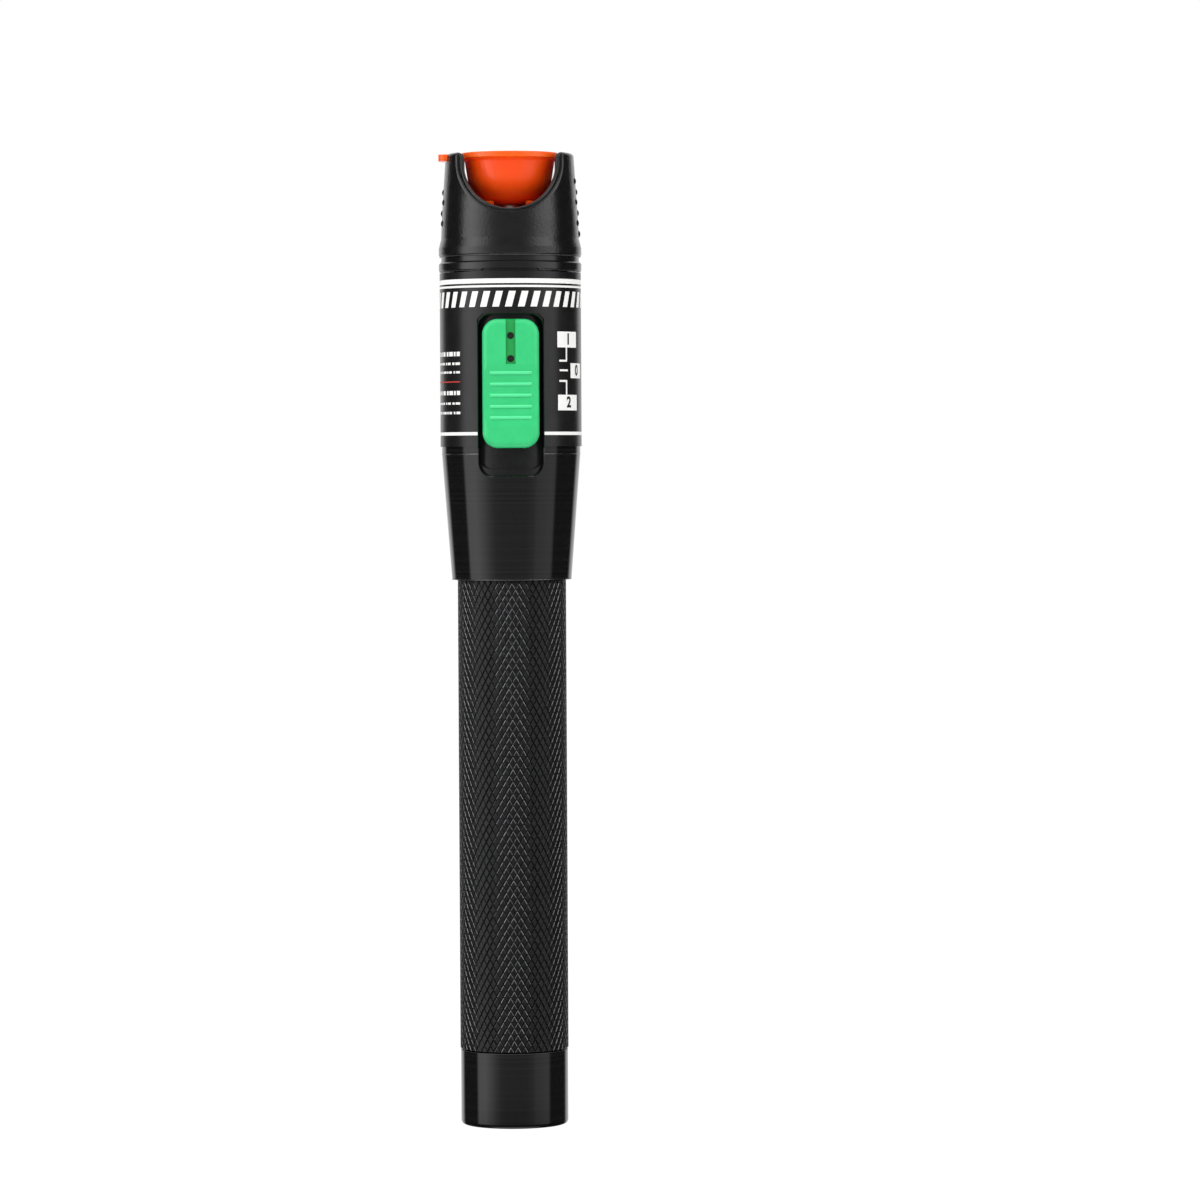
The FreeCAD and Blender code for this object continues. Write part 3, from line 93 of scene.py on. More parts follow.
# Handle details, as in the plain tube that the detailed one stands for, but with a finer
# groove above the tail.
TAIL_RADIUS = HANDLE_RADIUS - 0.08 * MM
TAIL_LENGTH = 13.85 * MM
TAIL_EDGE = 0.8 * MM
TAIL_LIP = 0.08 * MM
TAIL_WALL = 3.0 * MM
GROOVE_WIDTH = 0.3 * MM
GROOVE_DEPTH = 0.5 * MM
BATTERY_BORE = 7.6 * MM
SPIGOT_RADIUS = HANDLE_RADIUS - 0.8 * MM
SEAL_GROOVE_DEPTH = 0.75 * MM
SEAL_GROOVE_WIDTH = 1.1 * MM
THREAD_PITCH = 1.5 * MM
THREAD_DEPTH = 0.45 * MM
THREAD_END = 0.5 * MM
THREAD_LIFT = 0.01 * MM
THREAD_SEGMENTS = 72
THREAD_ROWS_A_TURN = 8

# Knurl: two crossing sets of grooves that leave flat-topped diamonds. The flat is a share of
# a cell, and the worn edge takes a share of the bevel beside it. How squarely a face looks
# outward tells a top from an edge, and an edge from a groove's side.
KNURL_STARTS = 48
KNURL_ANGLE = math.radians(30)
KNURL_DEPTH = 0.15 * MM
KNURL_FLAT = 0.7
KNURL_WEAR = 0.045 * MM
KNURL_WORN_SHARE = 0.55
KNURL_LAND = 0.25 * MM
CORE_GAP = 0.02 * MM
KNURL_BOTTOM = TAIL_LENGTH + GROOVE_WIDTH
SPARE_ROWS = 2
FACING_TOP = 0.97
FACING_EDGE = 0.8

# Beads on the edges that catch the light: how fat each is, how far it lies from the edge or
# the piece that it belongs to, and how wide it is open at the front. Then the lips round the
# guard's scoops: thickness, depth below the shell, drop below the posts' tops.
BEAD_SINK = 0.7
BEAD_SIDES = 12
BEAD_SEGMENTS = 150
WELL_MARGIN = 0.1 * MM
TAPER_DROP = 1.4 * MM
TAPER_BEAD = 0.11 * MM
FOOT_BEAD = 0.08 * MM
FLANGE_INSET = 0.1 * MM
FLANGE_DROP = 2.62 * MM
FLANGE_BEAD = 0.07 * MM
FLANGE_OPENING = math.radians(24)
TAIL_BEAD_DROP = 0.06 * MM
TAIL_BEAD = 0.045 * MM
GUARD_EDGE = 0.14 * MM
GUARD_BEAD = 0.12 * MM
LIP_SIZE = 0.36 * MM
LIP_SUNK = 0.42 * MM
LIP_DROP = 0.35 * MM
LIP_ENDS = (0.25, 0.75, 1.0)
LIP_SIDES = 10
LIP_STRAIGHT_STEPS = 6
LIP_ARC_STEPS = 48


# ---------------------------------------------------------------- meshes

def add_mesh(name, body, points, faces, material, sharp=30):
    """A mesh piece that rides on a body, smooth apart from edges sharper than an angle."""
    mesh = bpy.data.meshes.new(name)
    mesh.from_pydata(points, [], faces)
    shape = bmesh.new()
    shape.from_mesh(mesh)
    bmesh.ops.remove_doubles(shape, verts=shape.verts, dist=WELD)
    bmesh.ops.recalc_face_normals(shape, faces=shape.faces)
    shape.to_mesh(mesh)
    shape.free()
    mesh.shade_smooth()
    mesh.set_sharp_from_angle(angle=math.radians(sharp))
    mesh.materials.append(material)
    piece = bpy.data.objects.new(name, mesh)
    bpy.context.scene.collection.objects.link(piece)
    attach(piece, body)
    return piece


def on_axis(radius, angle, height):
    """The point at an angle from the front, turning towards +X, round the pen's axis."""
    return (radius * math.sin(angle), -radius * math.cos(angle), height)


def turned(name, body, profile, material, segments=160, sharp=30):
    """A closed profile of (radius, height) points, turned about the pen's axis."""
    points = []
    faces = []
    count = len(profile)
    for step in range(segments):
        angle = FULL_TURN * step / segments
        points += [on_axis(radius, angle, height) for radius, height in profile]
    for step in range(segments):
        here = step * count
        there = (step + 1) % segments * count
        for index in range(count):
            following = (index + 1) % count
            faces.append((here + index, there + index, there + following, here + following))
    return add_mesh(name, body, points, faces, material, sharp)


def rounded(radius, height, size, first, last, steps=5):
    """Points along a quarter-round or less, from one angle to another, in degrees."""
    turns = [math.radians(first + (last - first) * step / steps) for step in range(steps + 1)]
    return [(radius + size * math.cos(turn), height + size * math.sin(turn)) for turn in turns]


def make_handle_core(material):
    """Everything of the battery tube but the knurl's diamonds and the thread."""
    core_radius = HANDLE_RADIUS - KNURL_DEPTH - CORE_GAP
    groove = TAIL_RADIUS - GROOVE_DEPTH
    seal_middle = (seal_low.z + seal_high.z) / 2
    seal_start = seal_middle - SEAL_GROOVE_WIDTH / 2
    seal_end = seal_middle + SEAL_GROOVE_WIDTH / 2
    seal_floor = SPIGOT_RADIUS - SEAL_GROOVE_DEPTH
    root = SPIGOT_RADIUS - THREAD_DEPTH
    land_radius = HANDLE_RADIUS - KNURL_LAND
    tail_round = rounded(TAIL_RADIUS - TAIL_EDGE, TAIL_EDGE, TAIL_EDGE, -90, 0)
    profile = [(0, 0)] + tail_round + [
        (TAIL_RADIUS, TAIL_LENGTH - TAIL_LIP),
        (TAIL_RADIUS - TAIL_LIP, TAIL_LENGTH),
        (groove, TAIL_LENGTH + GROOVE_WIDTH / 2),
        (land_radius, KNURL_BOTTOM),
        (core_radius, KNURL_BOTTOM + KNURL_LAND),
        (core_radius, TUBE_TOP - KNURL_LAND),
        (land_radius, TUBE_TOP),
        (SPIGOT_RADIUS, TUBE_TOP),
        (SPIGOT_RADIUS, seal_start),
        (seal_floor, seal_start),
        (seal_floor, seal_end),
        (SPIGOT_RADIUS, seal_end),
        (root, seal_end + THREAD_DEPTH),
        (root, SPIGOT_TOP),
        (BATTERY_BORE, SPIGOT_TOP),
        (BATTERY_BORE, TAIL_WALL),
        (0, TAIL_WALL),
    ]
    piece = turned("handle_core", "handle", profile, material)
    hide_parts("handle_tube")
    return piece


def make_knurl(top_material, edge_material, groove_material):
    """The diamonds: each a flat top, worn edges and four bevels down to the grooves."""
    arc = FULL_TURN / KNURL_STARTS
    pitch = HANDLE_RADIUS * arc / math.tan(KNURL_ANGLE)
    length = TUBE_TOP - KNURL_BOTTOM
    rows = math.ceil(length / pitch) + SPARE_ROWS
    half = KNURL_FLAT / 2
    worn = half + (0.5 - half) * KNURL_WORN_SHARE
    groove_radius = HANDLE_RADIUS - KNURL_DEPTH
    worn_radius = HANDLE_RADIUS - KNURL_WEAR
    points = []
    faces = []

    def place(first, second, radius):
        angle = arc * (first + second) / 2
        height = KNURL_BOTTOM - pitch + pitch * (first - second) / 2
        points.append(on_axis(radius, angle, height))

    for column in range(KNURL_STARTS):
        for row in range(rows * 2):
            first = column + (row + 1) // 2
            second = column - row // 2
            start = len(points)
            for a, b in ((0, 0), (1, 0), (1, 1), (0, 1)):
                place(first + a, second + b, groove_radius)
            for reach, radius in ((worn, worn_radius), (half, HANDLE_RADIUS)):
                for a, b in ((-1, -1), (1, -1), (1, 1), (-1, 1)):
                    place(first + 0.5 + a * reach, second + 0.5 + b * reach, radius)
            for ring in (start, start + 4):
                for side in range(4):
                    after = (side + 1) % 4
                    faces.append((ring + side, ring + after, ring + 4 + after, ring + 4 + side))
            faces.append(tuple(range(start + 8, start + 12)))
    piece = add_mesh("knurl", "handle", points, faces, top_material, sharp=5)
    trim_ends(piece.data, KNURL_BOTTOM, TUBE_TOP)
    piece.data.materials.append(edge_material)
    piece.data.materials.append(groove_material)
    for face in piece.data.polygons:
        outward = Vector((face.center.x, face.center.y, 0)).normalized()
        facing = face.normal.dot(outward)
        face.material_index = 0 if facing > FACING_TOP else 1 if facing > FACING_EDGE else 2
    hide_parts("handle_tube")
    return piece


def trim_ends(mesh, low, high):
    """Cut a mesh off below one height and above another."""
    shape = bmesh.new()
    shape.from_mesh(mesh)
    for height, outside in ((low, -1), (high, 1)):
        everything = shape.verts[:] + shape.edges[:] + shape.faces[:]
        bmesh.ops.bisect_plane(shape, geom=everything, plane_co=(0, 0, height),
                               plane_no=(0, 0, outside), clear_outer=True)
    shape.to_mesh(mesh)
    shape.free()


def make_thread(material):
    """External thread on the spigot: a ridge whose height follows the turn."""
    low = (seal_low.z + seal_high.z + SEAL_GROOVE_WIDTH) / 2 + THREAD_DEPTH
    high = SPIGOT_TOP - THREAD_END
    segments = THREAD_SEGMENTS
    rows = round((high - low) / THREAD_PITCH * THREAD_ROWS_A_TURN)
    points = []
    faces = []
    for row in range(rows + 1):
        height = low + (high - low) * row / rows
        for step in range(segments):
            phase = height / THREAD_PITCH + step / segments
            ridge = 1 - abs(2 * (phase % 1) - 1)
            fade = min(1, (height - low) / THREAD_DEPTH, (high - height) / THREAD_DEPTH)
            radius = SPIGOT_RADIUS - THREAD_DEPTH * (1 - ridge * fade)
            points.append(on_axis(radius + THREAD_LIFT, FULL_TURN * step / segments, height))
    for row in range(rows):
        for step in range(segments):
            here = row * segments
            after = (step + 1) % segments
            faces.append((here + step, here + after, here + segments + after,
                          here + segments + step))
    piece = add_mesh("spigot_thread", "handle", points, faces, material, sharp=50)
    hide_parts("handle_tube")
    return piece


def make_edge_line(name, body, radius, height, size, material, opening=0.0):
    """A softly broken edge as a fine bead, open round the front by an angle either way."""
    ring = rounded(radius - size * BEAD_SINK, height, size, 0, 360, BEAD_SIDES)[:-1]
    segments = BEAD_SEGMENTS
    count = len(ring)
    closed = opening == 0
    points = []
    faces = []
    for step in range(segments if closed else segments + 1):
        angle = opening + (FULL_TURN - 2 * opening) * step / segments
        points += [on_axis(around, angle, level) for around, level in ring]
    for step in range(segments):
        here = step * count
        there = (step + 1) % segments * count if closed else here + count
        for index in range(count):
            following = (index + 1) % count
            faces.append((here + index, there + index, there + following, here + following))
    piece = add_mesh(name, body, points, faces, material, sharp=60)
    return piece


def make_scoop_lip(name, front, material):
    """The raised lip round one finger scoop, from post top to post top."""
    radius = SCOOP_RADIUS
    centre = guard_low.z + SCOOP_CENTRE
    top = guard_high.z - LIP_DROP
    straight = top - centre
    steps = LIP_STRAIGHT_STEPS
    path = [(-radius, top - straight * step / steps) for step in range(steps)]
    for step in range(LIP_ARC_STEPS + 1):
        turn = math.pi * step / LIP_ARC_STEPS
        path.append((-radius * math.cos(turn), centre - radius * math.sin(turn)))
    path += [(radius, centre + straight * (step + 1) / steps) for step in range(steps)]
    spine = []
    for across, height in path:
        shell = shell_radius(height) - LIP_SUNK
        spine.append(Vector((across, -front * math.sqrt(shell ** 2 - across ** 2), height)))
    sides = LIP_SIDES
    points = []
    faces = []
    for index, place in enumerate(spine):
        before = spine[max(index - 1, 0)]
        after = spine[min(index + 1, len(spine) - 1)]
        along = (after - before).normalized()
        outward = Vector((place.x, place.y, 0)).normalized()
        across = along.cross(outward).normalized()
        outward = across.cross(along)
        ends = min(index, len(spine) - 1 - index)
        reach = LIP_SIZE * LIP_ENDS[min(ends, len(LIP_ENDS) - 1)]
        for side in range(sides):
            turn = FULL_TURN * side / sides
            point = place + (across * math.cos(turn) + outward * math.sin(turn)) * reach
            points.append(tuple(point))
    for index in range(len(spine) - 1):
        here = index * sides
        for side in range(sides):
            after = (side + 1) % sides
            faces.append((here + side, here + after, here + sides + after, here + sides + side))
    faces.append(tuple(range(sides)))
    faces.append(tuple(range(len(points) - sides, len(points))))
    piece = add_mesh(name, "body", points, faces, material, sharp=60)
    return piece


def shell_radius(height):
    """Outer radius of the guard's long taper at a height."""
    start = guard_low.z + CROWN_HEIGHT
    share = (height - start) / (guard_high.z - start)
    return CROWN_RADIUS + (POST_RADIUS - CROWN_RADIUS) * share


def make_edge_lines():
    """The beads on the housing, the flange, the tail and the guard, and the scoops' lips."""
    well = math.asin((WELL_HALF + WELL_MARGIN) / HOUSING_RADIUS)
    make_edge_line("taper_edge", "body", HOUSING_RADIUS, LABEL_BOTTOM - TAPER_DROP,
                   TAPER_BEAD, bead_metal, well)
    make_edge_line("foot_edge", "body", FOOT_RADIUS, TUBE_TOP + FOOT_BEAD,
                   FOOT_BEAD, bead_metal)
    make_edge_line("flange_edge", "body", FLANGE_RADIUS - FLANGE_INSET,
                   guard_low.z - FLANGE_DROP, FLANGE_BEAD, bead_plastic_highlight,
                   FLANGE_OPENING)
    make_edge_line("tail_edge", "handle", TAIL_RADIUS, TAIL_LENGTH - TAIL_BEAD_DROP,
                   TAIL_BEAD, bead_plastic_highlight)
    make_scoop_lip("scoop_lip_front", 1, guard_plastic)
    make_scoop_lip("scoop_lip_back", -1, guard_plastic)
    make_edge_line("guard_edge", "body", FLANGE_RADIUS - GUARD_EDGE, guard_low.z + GUARD_EDGE,
                   GUARD_BEAD, bead_plastic_highlight)


# ---------------------------------------------------------------- print on the label

INK_LIFT = 0.02 * MM
INK_STEP = 0.5 * MM
SEAM_HALF = 0.25 * MM
WINDOW_HALF = 6.1 * MM

# The print's places, in millimetres: left and right along the label's arc from the front,
# top and bottom below the label's top edge.
STRIPES = ((1.32, 2.17), (2.52, 2.9))
LOWER_STRIPE = (29.25, 29.85)
BARS_EACH_SIDE = 9
BAR_PITCH = 2.35
BAR_LEFT = 0.62
BAR_WIDTH = 1.25
BAR_LEAN = 0.38
BAR_ROW = (3.6, 6.45)
FIGURES = "102"
FIGURE_BOXES = ((9.3, 15.2, 10.95, 13.85), (13.0, 17.6, 16.7, 19.45), (9.4, 15.4, 22.5, 25.35))
FIGURE_SHARE = 0.95
FIGURE_BOLD = 0.035
POINTER_RULES = (
    (11.5, 11.9, 13.85, 16.45), (9.75, 11.9, 16.1, 16.45),
    (9.85, 12.1, 17.85, 18.2),
    (9.75, 11.9, 19.8, 20.15), (11.5, 11.9, 19.8, 22.5),
)
DASH_LINES = ((14.55, 15.35), (16.5, 16.95), (18.1, 18.5), (21.7, 22.45), (23.8, 24.2),
              (25.5, 25.95))
DASHES = ((0.9, 0.28), (0.55, 0.28), (1.25, 0.28), (0.7, 0.55), (1.05, 0.28), (0.5, 0.55))
DASHES_RIGHT = -10.3
DASHES_REACH = 9.2
RED_RULE = (-20.6, -10.3, 19.95, 20.15)


class Ink:
    """Thin printed shapes of one colour, wrapped round the label at a height above it."""

    def __init__(self, lift):
        self.radius = LABEL_RADIUS + lift
        self.points = []
        self.faces = []

    def spot(self, along, below):
        """Add the point this far along the label's arc and below its top edge."""
        self.points.append(on_axis(self.radius, along / LABEL_RADIUS, LABEL_TOP - below))

    def strip(self, left, right, top, bottom, lean=0.0):
        """A rectangle, or a leaning one, in lengths along the arc and below the top."""
        steps = max(1, math.ceil(abs(right - left) / INK_STEP))
        start = len(self.points)
        for step in range(steps + 1):
            along = left + (right - left) * step / steps
            self.spot(along + lean, top)
            self.spot(along - lean, bottom)
        for step in range(steps):
            first = start + 2 * step
            self.faces.append((first, first + 1, first + 3, first + 2))

    def block(self, left, right, top, bottom, lean=0.0):
        """A strip whose places are in millimetres."""
        self.strip(left * MM, right * MM, top * MM, bottom * MM, lean * MM)

    def figure(self, text, middle, below, height):
        """A plain figure, centred at a place on the label."""
        curve = bpy.data.curves.new("figure", "FONT")
        curve.body = text
        curve.size = height
        curve.align_x = "CENTER"
        curve.align_y = "CENTER"
        curve.offset = height * FIGURE_BOLD
        holder = bpy.data.objects.new("figure", curve)
        flat = bpy.data.meshes.new_from_object(holder)
        start = len(self.points)
        for vertex in flat.vertices:
            self.spot(middle + vertex.co.x, below - vertex.co.y)
        for face in flat.polygons:
            self.faces.append(tuple(start + index for index in face.vertices))
        bpy.data.objects.remove(holder)
        bpy.data.curves.remove(curve)
        bpy.data.meshes.remove(flat)

    def make(self, name, material):
        """The finished print as one piece."""
        piece = add_mesh(name, "body", self.points, self.faces, material)
        return piece


def print_dashes(ink):
    """Rows of short dashes, each row starting at another place in the pattern."""
    for line, (top, bottom) in enumerate(DASH_LINES):
        reach = 0.0
        index = line * 2
        while reach < DASHES_REACH:
            width, gap = DASHES[index % len(DASHES)]
            right = DASHES_RIGHT - reach
            ink.block(right - width, right, top, bottom)
            reach += width + gap
            index += 1


def make_print():
    """White stripes, slanted bars, dashes and pointers, a red rule, and plain figures."""
    white = Ink(INK_LIFT)
    half_turn = math.pi * LABEL_RADIUS - SEAM_HALF
    window = LABEL_RADIUS * math.asin(WINDOW_HALF / LABEL_RADIUS)
    for top, bottom in STRIPES:
        white.strip(-half_turn, half_turn, top * MM, bottom * MM)
    top, bottom = LOWER_STRIPE
    white.strip(-half_turn, -window, top * MM, bottom * MM)
    white.strip(window, half_turn, top * MM, bottom * MM)
    for index in range(-BARS_EACH_SIDE, BARS_EACH_SIDE + 1):
        left = BAR_PITCH * index - BAR_LEFT
        white.block(left, left + BAR_WIDTH, *BAR_ROW, BAR_LEAN)
    for place in FIGURE_BOXES + POINTER_RULES:
        white.block(*place)
    print_dashes(white)
    white.make("print_white", ink_white)

    red = Ink(INK_LIFT)
    red.block(*RED_RULE)
    red.make("print_red", ink_red)

    black = Ink(2 * INK_LIFT)
    for text, (left, right, top, bottom) in zip(FIGURES, FIGURE_BOXES):
        middle = (left + right) / 2 * MM
        height = (bottom - top) * FIGURE_SHARE * MM
        black.figure(text, middle, (top + bottom) / 2 * MM, height)
    black.make("print_figures", ink_black)


# ---------------------------------------------------------------- materials

# The colour sockets of a Mix node, which has several sockets of the same name.
MIX_FIRST = 6
MIX_SECOND = 7
MIX_RESULT = 2

# How a grain is stretched: the same along every axis, or as fine rings round the pen.
EVEN = (1, 1, 1)
RINGS = (0, 0, 1)


class Finish:
    """A node material built up from a few named steps."""

    def __init__(self, name, colour, roughness, metallic=0.0, specular=0.5):
        self.material = bpy.data.materials.new(name)
        self.material.use_nodes = True
        self.tree = self.material.node_tree
        self.shader = self.tree.nodes["Principled BSDF"]
        self.shader.inputs["Base Color"].default_value = (*colour, 1)
        self.shader.inputs["Roughness"].default_value = roughness
        self.shader.inputs["Metallic"].default_value = metallic
        self.shader.inputs["Specular IOR Level"].default_value = specular
        self.colour = colour
        self.roughness = roughness
        self.normal = None

    def node(self, kind):
        """A new node in the material's tree."""
        return self.tree.nodes.new(kind)

    def link(self, output, target):
        """Join two sockets."""
        self.tree.links.new(output, target)

    def noise(self, grain, stretch=EVEN, detail=2.0):
        """Noise in the object's own space, with a grain in millimetres."""
        place = self.node("ShaderNodeTexCoord")
        mapping = self.node("ShaderNodeMapping")
        mapping.inputs["Scale"].default_value = [axis / (grain * MM) for axis in stretch]
        texture = self.node("ShaderNodeTexNoise")
        texture.inputs["Scale"].default_value = 1.0
        texture.inputs["Detail"].default_value = detail
        self.link(place.outputs["Object"], mapping.inputs["Vector"])
        self.link(mapping.outputs["Vector"], texture.inputs["Vector"])
        return texture.outputs["Fac"]

    def bump(self, grain, height, stretch=EVEN, detail=2.0):
        """Relief: a grain and a height in millimetres, stretched along the axes."""
        bump = self.node("ShaderNodeBump")
        bump.inputs["Strength"].default_value = 1.0
        bump.inputs["Distance"].default_value = height * MM
        self.link(self.noise(grain, stretch, detail), bump.inputs["Height"])
        if self.normal is not None:
            self.link(self.normal, bump.inputs["Normal"])
        self.normal = bump.outputs["Normal"]
        self.link(self.normal, self.shader.inputs["Normal"])
        return self

    def mottle(self, other, grain, low=0.35, high=0.65, stretch=EVEN, detail=3.0):
        """Colour that wanders between the base colour and another."""
        ramp = self.node("ShaderNodeValToRGB")
        ramp.color_ramp.elements[0].position = low
        ramp.color_ramp.elements[0].color = (*self.colour, 1)
        ramp.color_ramp.elements[1].position = high
        ramp.color_ramp.elements[1].color = (*other, 1)
        self.link(self.noise(grain, stretch, detail), ramp.inputs["Fac"])
        self.link(ramp.outputs["Color"], self.shader.inputs["Base Color"])
        return self

    def uneven_gloss(self, spread, grain, stretch=EVEN):
        """Roughness that wanders by a spread either way."""
        span = self.node("ShaderNodeMapRange")
        span.inputs["To Min"].default_value = self.roughness - spread
        span.inputs["To Max"].default_value = self.roughness + spread
        self.link(self.noise(grain, stretch), span.inputs["Value"])
        self.link(span.outputs["Result"], self.shader.inputs["Roughness"])
        return self

    def paint(self, colour, low, high, pitch=None, half=None):
        """Another colour inside a box, or in evenly spaced bands up the height of it. Here it
        paints highlights and shade.
        """
        place = self.node("ShaderNodeTexCoord")
        split = self.node("ShaderNodeSeparateXYZ")
        self.link(place.outputs["Object"], split.inputs["Vector"])
        share = None
        for axis in range(3):
            inside = self.node("ShaderNodeMath")
            inside.operation = "COMPARE"
            inside.inputs[1].default_value = (low[axis] + high[axis]) / 2
            inside.inputs[2].default_value = (high[axis] - low[axis]) / 2
            self.link(split.outputs[axis], inside.inputs[0])
            share = self.product(share, inside.outputs["Value"])
        if pitch is not None:
            wave = self.node("ShaderNodeMath")
            wave.operation = "PINGPONG"
            wave.inputs[1].default_value = pitch / 2
            shift = self.node("ShaderNodeMath")
            shift.operation = "SUBTRACT"
            shift.inputs[1].default_value = low[2]
            narrow = self.node("ShaderNodeMath")
            narrow.operation = "GREATER_THAN"
            narrow.inputs[1].default_value = pitch / 2 - half
            self.link(split.outputs["Z"], shift.inputs[0])
            self.link(shift.outputs["Value"], wave.inputs[0])
            self.link(wave.outputs["Value"], narrow.inputs[0])
            share = self.product(share, narrow.outputs["Value"])
        mix = self.node("ShaderNodeMix")
        mix.data_type = "RGBA"
        mix.inputs[MIX_SECOND].default_value = (*colour, 1)
        before = self.shader.inputs["Base Color"].links[0].from_socket
        self.link(share, mix.inputs["Factor"])
        self.link(before, mix.inputs[MIX_FIRST])
        self.link(mix.outputs[MIX_RESULT], self.shader.inputs["Base Color"])
        return self

    def product(self, first, second):
        """One factor times another, or the second alone."""
        if first is None:
            return second
        times = self.node("ShaderNodeMath")
        times.operation = "MULTIPLY"
        self.link(first, times.inputs[0])
        self.link(second, times.inputs[1])
        return times.outputs["Value"]

    def set(self, socket, value):
        """A constant on one of the shader's own sockets."""
        self.shader.inputs[socket].default_value = value
        return self


# Painted light on the mouldings: a painted highlight on the cap's top rim, painted shade in the
# button's sunk channel, and painted highlights on the tops of the button's ridges. Depths count
# from the button's front, heights from its foot.
FAR = 20 * MM
BEYOND = 1.0 * MM
RIM_HIGHLIGHT_ORANGE = (1.0, 0.125, 0.01)
RIM_HIGHLIGHT_HEIGHT = 1.15 * MM
CHANNEL_SHADE_GREEN = (0.008, 0.34, 0.07)
CHANNEL_HALF = 0.95 * MM
CHANNEL_LENGTH = 8.25 * MM
CHANNEL_DEPTH = 0.3 * MM
PAINT_DEPTH = 0.9 * MM
RIDGE_HIGHLIGHT_GREEN = (0.09, 0.74, 0.31)
RIDGE_PITCH = 2.04 * MM
RIDGE_HALF = 0.29 * MM
RIDGE_REACH = 3.85 * MM
RIDGES_MIDDLE = 9.6 * MM
RIDGES_HALF = 2.5 * RIDGE_PITCH
ridges_middle = button_low.z + RIDGES_MIDDLE
rim_highlight_low = (-FAR, -FAR, cad_bounds[1].z - RIM_HIGHLIGHT_HEIGHT)
rim_highlight_high = (FAR, FAR, cad_bounds[1].z + BEYOND)
channel_shade_low = (-CHANNEL_HALF, button_low.y + CHANNEL_DEPTH, button_high.z - CHANNEL_LENGTH)
channel_shade_high = (CHANNEL_HALF, button_low.y + PAINT_DEPTH, button_high.z + BEYOND)
ridge_highlight_low = (-RIDGE_REACH, button_low.y - BEYOND, ridges_middle - RIDGES_HALF)
ridge_highlight_high = (RIDGE_REACH, button_low.y + PAINT_DEPTH, ridges_middle + RIDGES_HALF)

anodised = (Finish("anodised_turned", (0.0036, 0.0036, 0.0039), 0.1)
            .mottle((0.0105, 0.0105, 0.011), 0.42, low=0.4, high=0.72, stretch=RINGS)
            .bump(0.3, 0.0012, RINGS, detail=4)
            .uneven_gloss(0.045, 0.5, RINGS).material)
knurl_top = (Finish("knurl_tops", (0.003, 0.0031, 0.0035), 0.42, specular=0.45)
             .mottle((0.0075, 0.0077, 0.0082), 0.9)
             .bump(0.2, 0.004, detail=3)
             .uneven_gloss(0.1, 0.7).material)
knurl_edge = (Finish("knurl_edges", (0.25, 0.25, 0.257), 0.2, metallic=1.0)
              .mottle((0.14, 0.14, 0.145), 0.8)
              .bump(0.2, 0.0015, detail=2).material)
knurl_groove = (Finish("knurl_grooves", (0.0026, 0.0026, 0.0029), 0.2, specular=0.6)
                .mottle((0.008, 0.008, 0.0088), 0.7)
                .bump(0.2, 0.0015, detail=2).material)
bead_metal = (Finish("broken_edge", (0.3, 0.3, 0.31), 0.3, metallic=1.0)
              .mottle((0.2, 0.2, 0.21), 0.5).material)
# Painted highlight: the beads on the guard, flange and tail are lighter than the pieces they
# sit on. This adds to the real gloss they catch.
bead_plastic_highlight = (Finish("painted_highlight_edge", (0.03, 0.03, 0.03), 0.24, specular=1.0)
                .mottle((0.045, 0.045, 0.045), 0.6).material)
label_film = (Finish("label_film_satin", (0.008, 0.008, 0.0085), 0.27)
              .mottle((0.011, 0.011, 0.0115), 3.0)
              .bump(0.16, 0.0022, detail=3).material)
ink_white = (Finish("ink_white", (0.82, 0.82, 0.8), 0.5)
             .mottle((0.88, 0.88, 0.86), 0.25).bump(0.1, 0.002).material)
ink_red = (Finish("ink_red", (0.5, 0.03, 0.025), 0.5)
           .mottle((0.6, 0.05, 0.035), 0.25).bump(0.1, 0.002).material)
ink_black = (Finish("ink_black", (0.012, 0.012, 0.012), 0.45)
             .mottle((0.02, 0.02, 0.02), 0.25).bump(0.1, 0.002).material)
guard_plastic = (Finish("guard_moulded", (0.0048, 0.0048, 0.0051), 0.18, specular=0.8)
                 .mottle((0.0068, 0.0068, 0.0072), 1.5)
                 .bump(0.42, 0.05, detail=2)
                 .uneven_gloss(0.06, 0.5).material)
flange_plastic = (Finish("flange_moulded", (0.0042, 0.0042, 0.0045), 0.2, specular=0.8)
                  .mottle((0.006, 0.006, 0.0064), 1.2)
                  .bump(0.3, 0.004, detail=3).material)
well_plastic = (Finish("well_moulded", (0.006, 0.006, 0.0062), 0.3)
                .mottle((0.009, 0.009, 0.0094), 1.5)
                .bump(0.2, 0.004, detail=3).material)
green_plastic = (Finish("button_green", (0.024, 0.545, 0.178), 0.36)
                 .mottle((0.03, 0.572, 0.193), 2.2)
                 # Painted shade: the sunk channel is a darker green, standing in for the shade
                 # inside it.
                 .paint(CHANNEL_SHADE_GREEN, channel_shade_low, channel_shade_high)
                 # Painted highlight: the tops of the ridges are a lighter green, standing in
                 # for the light they catch.
                 .paint(RIDGE_HIGHLIGHT_GREEN, ridge_highlight_low, ridge_highlight_high, RIDGE_PITCH, RIDGE_HALF)
                 .bump(0.2, 0.005, detail=4)
                 .uneven_gloss(0.06, 0.8)
                 .set("Coat Weight", 0.35)
                 .set("Coat Roughness", 0.22)
                 .set("Subsurface Weight", 0.08)
                 .set("Subsurface Radius", (0.0004, 0.0012, 0.0006)).material)
